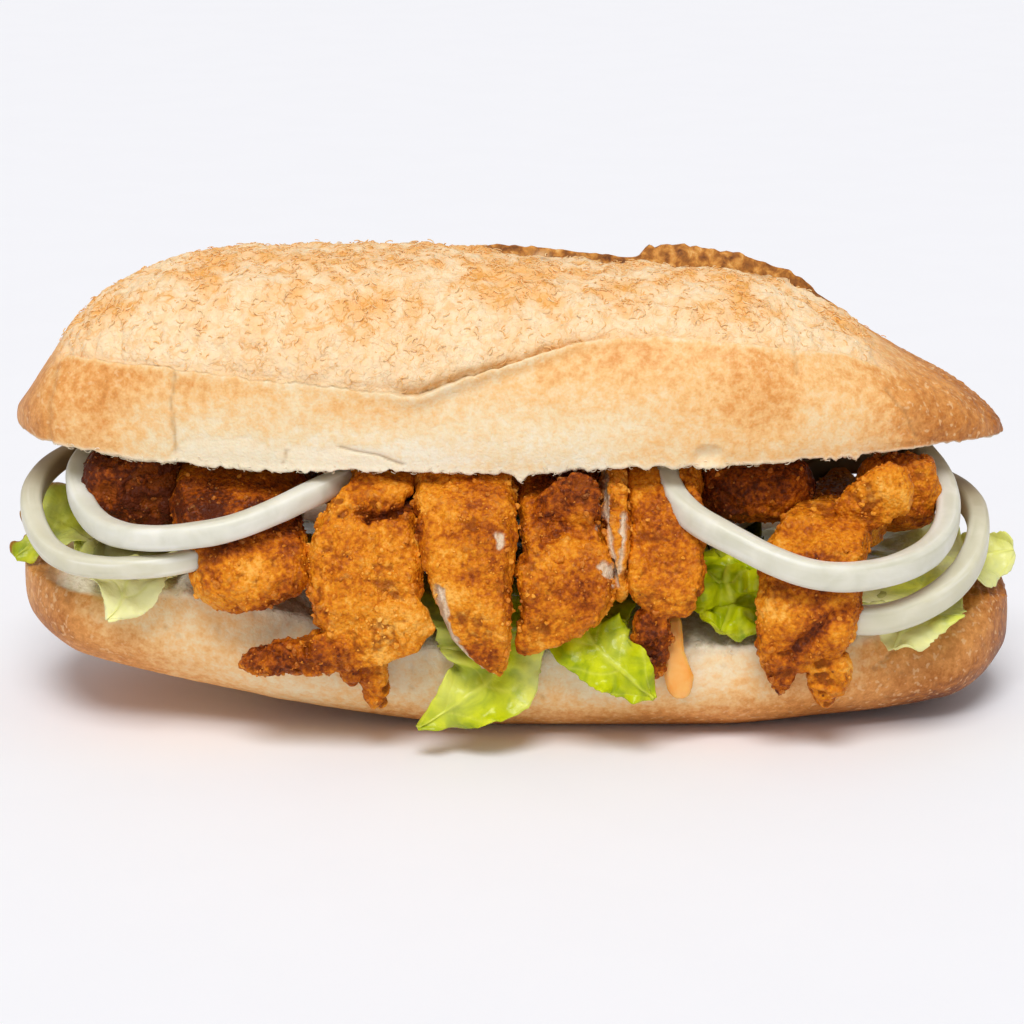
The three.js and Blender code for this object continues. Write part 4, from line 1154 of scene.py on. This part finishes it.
# %% Fibre scatter tree
def fibre_tree(material, where):
    tree, given, spread = begin_scatter(
        "fibre scatter on " + where, where, ["Fibres per square metre", "Shortest", "Longest"], ["Seed"])
    arc = add_node(tree, "GeometryNodeCurveArc",
                   {"Resolution": 6, "Radius": 0.6, "Start Angle": -0.9, "Sweep Angle": 1.8})
    along = add_node(tree, "GeometryNodeSplineParameter").outputs["Factor"]
    half_turn = add_node(tree, "ShaderNodeMath", {0: along, 1: math.pi}, operation="MULTIPLY")
    belly = add_node(tree, "ShaderNodeMath", {0: result(half_turn)}, operation="SINE")
    girth = add_node(tree, "ShaderNodeMath", {0: result(belly), 1: 0.25}, operation="ADD")
    tapered = add_node(tree, "GeometryNodeSetCurveRadius",
                       {"Curve": result(arc), "Radius": result(girth)})
    section = add_node(tree, "GeometryNodeCurvePrimitiveCircle", {"Resolution": 3, "Radius": 0.07})
    tube = add_node(tree, "GeometryNodeCurveToMesh",
                    {"Curve": result(tapered), "Profile Curve": result(section), "Fill Caps": True})
    tip = drawn(tree, given, (-0.35, -0.5, 0), (0.35, 0.5, FULL_TURN))
    turned = add_node(tree, "FunctionNodeRotateRotation",
                      {"Rotation": spread["Rotation"], "Rotate By": tip}, rotation_space="LOCAL")
    size = drawn(tree, given, given["Shortest"], given["Longest"])
    arcs = on_points(tree, given, spread["Points"], result(tube), result(turned), size, (0.0, 1.0))
    return end_scatter(tree, arcs, material)


def fibre_finish(name, dark, middle, light):
    f = Finish(name)
    colour = f.ramp(f.read("grain"), [(0.0, dark), (0.4, middle), (1.0, light)])
    colour = f.mix(f.step(f.noise(1.5, 2), 0.4, 0.6, 0, 0.3), colour, middle)
    return f.finish(colour, 0.8, f.bump(f.noise(0.4, 2), 0.1, 0.5), Specular_IOR_Level=0.2)


toasted = fibre_finish("toasted fibres", (0.78, 0.36, 0.07), (0.92, 0.5, 0.15), (0.97, 0.74, 0.43))
untoasted = fibre_finish("pale fibres", (0.8, 0.62, 0.38), (0.92, 0.79, 0.56), (0.95, 0.87, 0.7))
scatter("fibres", fibre_tree(toasted, "showing"),
        {"Fibres per square metre": 5.0e5, "Shortest": 0.0009, "Longest": 0.0026, "Seed": 5},
        [lid_mesh])
scatter("frayed_rims", fibre_tree(untoasted, "frayed"),
        {"Fibres per square metre": 9.0e5, "Shortest": 0.0007, "Longest": 0.0017, "Seed": 6},
        [lid_mesh, base_mesh])

# %% [markdown]
# ## Onion rings
# A ring is one layer of an onion slice: a hoop with a squarish section, draped over the
# filling. Eight heights say how it lies, and a smooth closed curve runs through them. The
# packed rings are faceted, so the same rule is drawn again with many more steps, with faint
# ribs along the ring, as the onion's cells run.

# %% Onion rings
RING_STEPS, SECTION_STEPS = 260, 28
CORNER_AT, CORNER_REACH = math.radians(216), math.radians(26)
# The last number of some rings is how much painted shade the whole ring gets.
RINGS = {
    "onion_left_upper": {"at": [-78, -22], "wide": 74, "deep": 74, "wall": 6.2, "height": 6.5,
                         "heights": [70.3, 69, 66.1, 70.1, 67.4, 58.6, 60.7, 68], "seed": 1},
    "onion_left_lower": {"at": [-93, -22], "wide": 70, "deep": 70, "wall": 5.8, "height": 5.7,
                         "heights": [56.6, 61, 66, 67.2, 61, 51, 51.1, 54.9], "seed": 2,
                         "old": 0.6},
    "onion_right_upper": {"at": [78.5, -28], "wide": 74, "deep": 74, "wall": 6.5, "height": 7.5,
                          "heights": [61.5, 71.7, 69.7, 70.1, 72, 61.8, 51.2, 52.5], "seed": 3,
                          "corner": 0.1, "old": 0.15},
    "onion_right_lower": {"at": [91, -22], "wide": 68, "deep": 70, "wall": 6.5, "height": 7.5,
                          "heights": [54.5, 59.6, 61.6, 52.2, 48, 44, 36.6, 42.6], "seed": 4,
                          "old": 0.7},
}


def round_hoop(values, share):
    """A smooth closed curve through even values, at a share of the way round."""
    values = np.array(values, float)
    i = np.floor(share * len(values)).astype(int)
    t = share * len(values) - i
    a, b, c, d = (values[(i + step) % len(values)] for step in (-1, 0, 1, 2))
    return b + t * (c - a + t * (2 * a - 5 * b + 4 * c - d + t * (3 * (b - c) + d - a))) / 2


def onion_ring(name, at, wide, deep, wall, height, heights, seed, corner=0.0, old=0.0):
    turn = (2 * math.pi * np.arange(RING_STEPS) / RING_STEPS)[:, None]
    section = (2 * math.pi * (np.arange(SECTION_STEPS) + 0.5) / SECTION_STEPS)[None]
    cos, sin = np.cos(turn), np.sin(turn)
    still = np.full_like(turn, seed)
    spread = 1 + corner * fading(turn - CORNER_AT, CORNER_REACH)
    spread = spread + 0.03 * noise(np.stack([cos * 1.4 + seed, sin * 1.4, still], -1), 1)
    thick = wall * (1 + 0.12 * noise(np.stack([cos + 9, sin, still], -1), 1))
    across = signed_power(np.cos(section), 0.6) * thick / 2
    up = signed_power(np.sin(section), 0.6) * height / 2
    px = at[0] + cos * (wide / 2 * spread + across)
    py = at[1] + sin * (deep / 2 * spread + across)
    rings = np.stack([px, py, round_hoop(heights, turn / (2 * math.pi)) + up], -1)
    rings += 0.1 * noise(rings, 5, seed)[..., None] * (rings - rings.mean(1, keepdims=True)) / 3.5
    rows, count = rings.shape[:2]
    r, k = np.meshgrid(np.arange(rows), np.arange(count), indexing="ij")
    a, b = r * count + k, r * count + (k + 1) % count
    c, d = (r + 1) % rows * count + k, (r + 1) % rows * count + (k + 1) % count
    mesh = bpy.data.meshes.new(name)
    mesh.from_pydata(metres(rings.reshape(-1, 3)).tolist(), [],
                     np.stack([a, c, d, b], -1).reshape(-1, 4).tolist())
    lines = np.stack(np.broadcast_arrays(2.6 * np.cos(section), 2.6 * np.sin(section), 2 * turn + seed), -1)
    # Layers that the finish turns into painted shade: a strength for the whole ring, and more where the ring
    # reaches deep into the sandwich.
    paint(softly_shaded(mesh), outer=np.broadcast_to(0.5 + 0.5 * np.cos(section), (rows, count)),
          old=np.full((rows, count), old), within=smooth(rings[..., 1], -34, -6),
          streak=0.5 + 0.35 * noise(lines, 1, seed) + 0.25 * noise(lines, 0.45, seed + 9))
    return facing_out(mesh)


def onion_finish():
    f = Finish("raw onion")
    outer, old = f.read("outer"), f.read("old")
    cloudy = f.noise(8, 3, 0.5)
    colour = f.ramp(cloudy, [(0.3, (0.62, 0.61, 0.5)), (0.7, (0.76, 0.745, 0.66))])
    # Painted shade, a strength for each ring, strongest on the lower rings.
    colour = f.mix(f.product(old, 0.75), colour, (0.62, 0.57, 0.38))
    streak = f.read("streak")
    colour = f.mix(f.step(streak, 0.5, 0.95, 0, 0.6), colour, (0.86, 0.85, 0.8))
    colour = f.mix(f.step(streak, 0.45, 0.05, 0, 0.4), colour, (0.47, 0.46, 0.31))
    # Painted shade on the side of the ring facing its hole.
    colour = f.mix(f.step(outer, 0.35, 0.0, 0, 0.5), colour, (0.5, 0.49, 0.34))
    # Painted shade where the ring reaches deep into the sandwich.
    colour = f.mix(f.product(f.read("within"), 0.85), colour, (0.2, 0.11, 0.03))
    ribs = f.noise(1.2, 2, stretch=(0.5, 0.5, 2))
    return f.finish(colour, 0.36, f.bump(ribs, 0.1, 0.35), Specular_IOR_Level=0.35,
                    Subsurface_Weight=0.5, Subsurface_Scale=0.004,
                    Subsurface_Radius=(1.0, 0.95, 0.7))


onion = onion_finish()
for node, facts in RINGS.items():
    finished(onion_ring(node, **facts), node, onion)

# %% [markdown]
# ## Lettuce
# A leaf is a thin sheet that follows a line, wide where it lies flat and narrow at its tips.
# Its edges grew longer than its middle, so they ruffle. The middle surface is drawn first,
# ruffled, and pushed clear of the strips and rings around it. Then it gets its thickness. Cloth
# simulation could drape it too, but a drawn path puts each leaf's tip where the real one is.

# %% Paths
def spline(points, t):
    """The points of a smooth path through `points` at t from 0 to 1."""
    points = np.array(points, float)
    last = len(points) - 1
    p = np.clip(t, 0, 1) * last
    i = np.clip(np.floor(p).astype(int), 0, last - 1)
    w = (p - i)[:, None]
    padded = np.vstack([2 * points[0] - points[1], points, 2 * points[-1] - points[-2]])
    p0, p1, p2, p3 = (padded[i + n] for n in range(4))
    gap = [np.sum((b - a) ** 2, 1, keepdims=True) ** 0.25 for a, b in ((p0, p1), (p1, p2), (p2, p3))]
    gap[1] = np.where(gap[1] < 1e-4, 1, gap[1])
    gap[0] = np.where(gap[0] < 1e-4, gap[1], gap[0])
    gap[2] = np.where(gap[2] < 1e-4, gap[1], gap[2])
    g0, g1, g2 = gap
    out = ((p1 - p0) / g0 - (p2 - p0) / (g0 + g1) + (p2 - p1) / g1) * g1
    into = ((p2 - p1) / g1 - (p3 - p1) / (g1 + g2) + (p3 - p2) / g2) * g1
    return (p1 + out * w + (-3 * p1 + 3 * p2 - 2 * out - into) * w ** 2
            + (2 * p1 - 2 * p2 + out + into) * w ** 3)


def unit(v):
    return v / np.maximum(np.linalg.norm(v, axis=-1, keepdims=True), 1e-9)


# %% Obstacles
CLEARANCE = 0.0011  # between a leaf's middle surface and what it lies against
SEARCH_REACH = 0.012
BOX_MARGIN = 0.002


def solid_tree(node):
    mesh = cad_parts[node].data
    return BVHTree.FromPolygons([v.co for v in mesh.vertices], [p.vertices[:] for p in mesh.polygons])


obstacles = {node: solid_tree(node) for node in [*STRIPS, *RINGS]}


def pushed_clear(grid):
    """Moves the points of a sheet (metres) out of the solids around it."""
    low, high = grid.reshape(-1, 3).min(0), grid.reshape(-1, 3).max(0)
    for node, tree in obstacles.items():
        lo, hi = (np.array(v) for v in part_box(node))
        if np.any(lo > high + BOX_MARGIN) or np.any(hi < low - BOX_MARGIN):
            continue
        inside_box = np.all((grid > lo - BOX_MARGIN) & (grid < hi + BOX_MARGIN), axis=-1)
        for index in zip(*np.nonzero(inside_box)):
            p = Vector(grid[index])
            place, straight, _, distance = tree.find_nearest(p, SEARCH_REACH)
            if place is None:
                continue
            if (p - place).dot(straight) < 0 or distance < CLEARANCE:
                grid[index] = place + straight * CLEARANCE
    return grid


def relaxed(grid, passes):
    for _ in range(passes):
        inner = (grid[:-2, 1:-1] + grid[2:, 1:-1] + grid[1:-1, :-2] + grid[1:-1, 2:]) / 4
        grid[1:-1, 1:-1] = 0.4 * grid[1:-1, 1:-1] + 0.6 * inner
    return grid


# %% Leaves
ALONG, ACROSS = 120, 44
LEAF_THICK = 0.8
TIP = 0.006  # share of a leaf's line left off at each end
LEAVES = {
    "lettuce_left": {"seed": 21, "side": (0, 1, 0), "stations": [
        [-52, -2, 42, 60, 0], [-80, -3, 43, 74, 0], [-104, -8, 45, 60, -4],
        [-114, -7, 50, 32, -22], [-121, -8, 51.5, 27, -36], [-128, -14, 46.5, 14, -38],
        [-134.5, -17, 42, 4, -45]], "pale": 0.5, "browned": 1.0},
    "lettuce_left_front": {"seed": 27, "stations": [
        [-99, 24, 46, 22, 0], [-99, -14, 46, 24, 0], [-100, -40, 45, 22, 0],
        [-100.5, -47, 42.5, 19, 0], [-102.5, -50.5, 39, 11, 0], [-105.5, -52, 35, 2, 0]],
        "pale": 1.1, "wavy": 1.8},
    "lettuce_middle_left": {"seed": 22, "stations": [
        [-20, 47, 48, 40, 0], [-14, 0, 42, 42, 0], [-7, -38, 38, 34, 0], [-4.5, -52, 33, 30, 0],
        [-4.5, -57, 26, 27, 0], [-7, -58, 19.5, 23, 0], [-14, -60, 15, 14, 0],
        [-25, -61, 8.5, 1, 0]], "pale": 0.25},
    "lettuce_middle_right": {"seed": 23, "stations": [
        [26, 47, 48, 42, 0], [24, 0, 42, 38, 0], [20, -40, 38, 26, 0], [18.5, -54, 34, 19, 0],
        [24, -60, 28, 19, 0], [31, -62, 22.5, 14, 0], [37, -62, 17, 3, 0]], "pale": 0.1},
    "lettuce_curl": {"seed": 24, "stations": [
        [58, 44, 48, 26, 0], [57, -20, 43, 22, 0], [57, -43, 49, 20, 0], [56, -50, 45, 19, 0],
        [58, -46, 38, 22, 0], [55, -52, 31, 15, 0]], "pale": -0.1, "wavy": 4.0},
    "lettuce_right": {"seed": 25, "side": (0, 1, 0), "stations": [
        [66, 0, 40, 60, 0], [90, -3, 39.5, 66, 0], [112, -8, 40.5, 56, 9], [124, -10, 40, 34, 6],
        [131, -9, 41, 15, 45], [137, -8, 42, 10, 70]], "pale": 0.65},
    "lettuce_right_front": {"seed": 28, "stations": [
        [104, 24, 38, 26, 0], [104, -14, 36, 30, 0], [106, -36, 35, 30, 0], [103, -47, 32, 22, 0],
        [100, -52, 28, 6, 0]], "pale": 0.6, "wavy": 1.6},
}


def over_sheet(*parts):
    """Points for the noise, from numbers that vary along, across or not at all."""
    return np.stack(np.broadcast_arrays(*(np.asarray(part, float) for part in parts)), -1)


def leaf(node, stations, seed, pale, side=(1, 0, 0), browned=0.0, wavy=1.0):
    t = np.linspace(TIP, 1 - TIP, ALONG)
    centre = spline([s[:3] for s in stations], t)
    girth = spline([[s[3], 0.9, s[4]] for s in stations], t)
    step = 1e-4
    before, after = (spline([s[:3] for s in stations], t + d) for d in (-step, step))
    forward = unit(after - before)
    wide = unit(np.array(side) - forward * (forward @ np.array(side))[:, None])
    roll = np.radians(girth[:, 2:3])
    wide = wide * np.cos(roll) + np.cross(forward, wide) * np.sin(roll)
    up = np.cross(forward, wide)
    rounding = (1 - np.abs(2 * t - 1) ** 9) ** (1 / 3)
    over = np.linspace(-1, 1, ACROSS)
    edge = np.sign(over)[None] * 4.7
    fray = 1 + 0.22 * noise(over_sheet((t * 9 + seed)[:, None], edge, seed * 1.9), 1)
    teeth = 0.05 * noise(over_sheet((t * 75)[:, None], edge, seed), 1) * over[None] ** 8
    reach = over[None] * (fray + teeth) * (girth[:, :1] * rounding[:, None]) / 2
    grid = centre[:, None] + wide[:, None] * reach[..., None]
    grid = grid + up[:, None] * (2 * noise(grid, 12, seed))[..., None]
    outer = np.abs(over[None]) ** 2.2
    length = np.cumsum(np.append(0, np.linalg.norm(np.diff(centre, axis=0), axis=1)))[:, None]
    phase = length / 2.1 + 2.5 * noise(grid, 14, seed + 1) + np.sign(over[None]) * 1.3
    free_end = smooth(-grid[..., 1], 20, 45) if side[0] else smooth(np.abs(grid[..., 0]), 108, 124)
    ruffle = (1.9 * np.sin(phase) + 1.0 * np.sin(2.3 * phase + 1)) * outer * (0.3 + 0.7 * free_end)
    crinkle = wavy * (0.9 * noise(grid, 5, seed + 2) + 0.45 * noise(grid, 2.4, seed + 3))
    veins = np.abs(np.sin(length / 3.4 + np.abs(over[None]) * 2.6 + 0.6 * noise(grid, 9, seed + 4)))
    vein = fading(veins, 0.16) * (1 - 0.4 * np.abs(over[None]))
    rib = fading(np.abs(over[None]), 0.07) * np.ones_like(length)
    grid = grid + up[:, None] * (ruffle + crinkle - 0.3 * vein)[..., None]
    grid = relaxed(pushed_clear(metres(grid)), 2 if wavy < 2 else 1)
    grid = pushed_clear(grid)
    across = np.gradient(grid, axis=1)
    along = np.gradient(grid, axis=0)
    straight = unit(np.cross(along, across))
    thin = LEAF_THICK / 2000 * (1 + 1.3 * rib + 0.2 * vein) * np.clip(1 - np.abs(over[None]) ** 14, 0.35, 1)
    top, bottom = grid + straight * thin[..., None], grid - straight * thin[..., None]
    rings = np.concatenate([top, bottom[:, ::-1]], 1)
    mesh = facing_out(skin(node, millimetres(rings)))

    def both(values):
        rows = np.broadcast_to(values, (ALONG, ACROSS))
        return closed_layer(rows, rows[:, ::-1])

    place = millimetres(grid)
    brown = browned * smooth(over[None], 0.8, 0.97) * smooth(-place[..., 0], 108, 116)
    # Painted shade on the parts of a leaf deep inside the sandwich.
    within = between(place[..., 1], -42, -24, 22, 34) if side[0] else 0 * brown
    # Painted shade in the hollows of the ruffles.
    hollow = np.clip(0.5 - 0.45 * (ruffle + crinkle), 0, 1)
    paint(mesh, vein=both(np.maximum(vein, rib)), brown=both(brown), within=both(within),
          hollow=both(hollow),
          pale=both(np.clip(pale + 0.3 * noise(place, 12, seed + 5), 0, 1)))
    return mesh


def lettuce_finish():
    f = Finish("lettuce")
    deep = f.noise(7, 3, 0.8)
    colour = f.ramp(deep, [(0.3, (0.25, 0.33, 0.002)), (0.5, (0.48, 0.54, 0.003)), (0.7, (0.66, 0.7, 0.01))])
    # Painted shade in the hollows of the ruffles.
    colour = f.mix(f.step(f.read("hollow"), 0.6, 1.0, 0, 0.45), colour, (0.22, 0.33, 0.002))
    colour = f.mix(f.step(f.read("pale"), 0.15, 1.0), colour, (0.97, 0.95, 0.44))
    colour = f.mix(f.product(f.read("vein"), 0.4), colour, (0.78, 0.8, 0.12))
    # Painted shade deep inside the sandwich.
    colour = f.mix(f.product(f.read("within"), 0.8), colour, (0.16, 0.15, 0.01))
    colour = f.mix(f.read("brown"), colour, (0.34, 0.14, 0.03))
    height = f.total(f.noise(1.6, 3, 0.5), f.product(f.read("vein"), -0.4))
    return f.finish(colour, 0.26, f.bump(height, 0.35, 0.6), Specular_IOR_Level=0.22,
                    Subsurface_Weight=0.2, Subsurface_Scale=0.003,
                    Subsurface_Radius=(0.9, 1.0, 0.1))


lettuce = lettuce_finish()
for node, facts in LEAVES.items():
    finished(leaf(node, **facts), node, lettuce)

# %% [markdown]
# ## Sauce
# A thin mayonnaise coloured with chilli runs down over the rim. It is smooth and glossy and
# lets some light through, so its thin foot looks paler than its top.

# %% Sauce drip
def sauce_finish():
    f = Finish("orange sauce")
    cloudy = f.noise(5, 3, 0.6)
    colour = f.ramp(cloudy, [(0.3, (0.92, 0.37, 0.05)), (0.7, (0.97, 0.52, 0.14))])
    return f.finish(colour, 0.22, f.bump(f.noise(2.5, 2), 0.2, 0.3), Specular_IOR_Level=0.5,
                    Subsurface_Weight=0.4, Subsurface_Scale=0.003)


sauce_mesh = even_copy("sauce_drip", 0.00035, 10)
finished(sauce_mesh, "sauce_drip", sauce_finish())
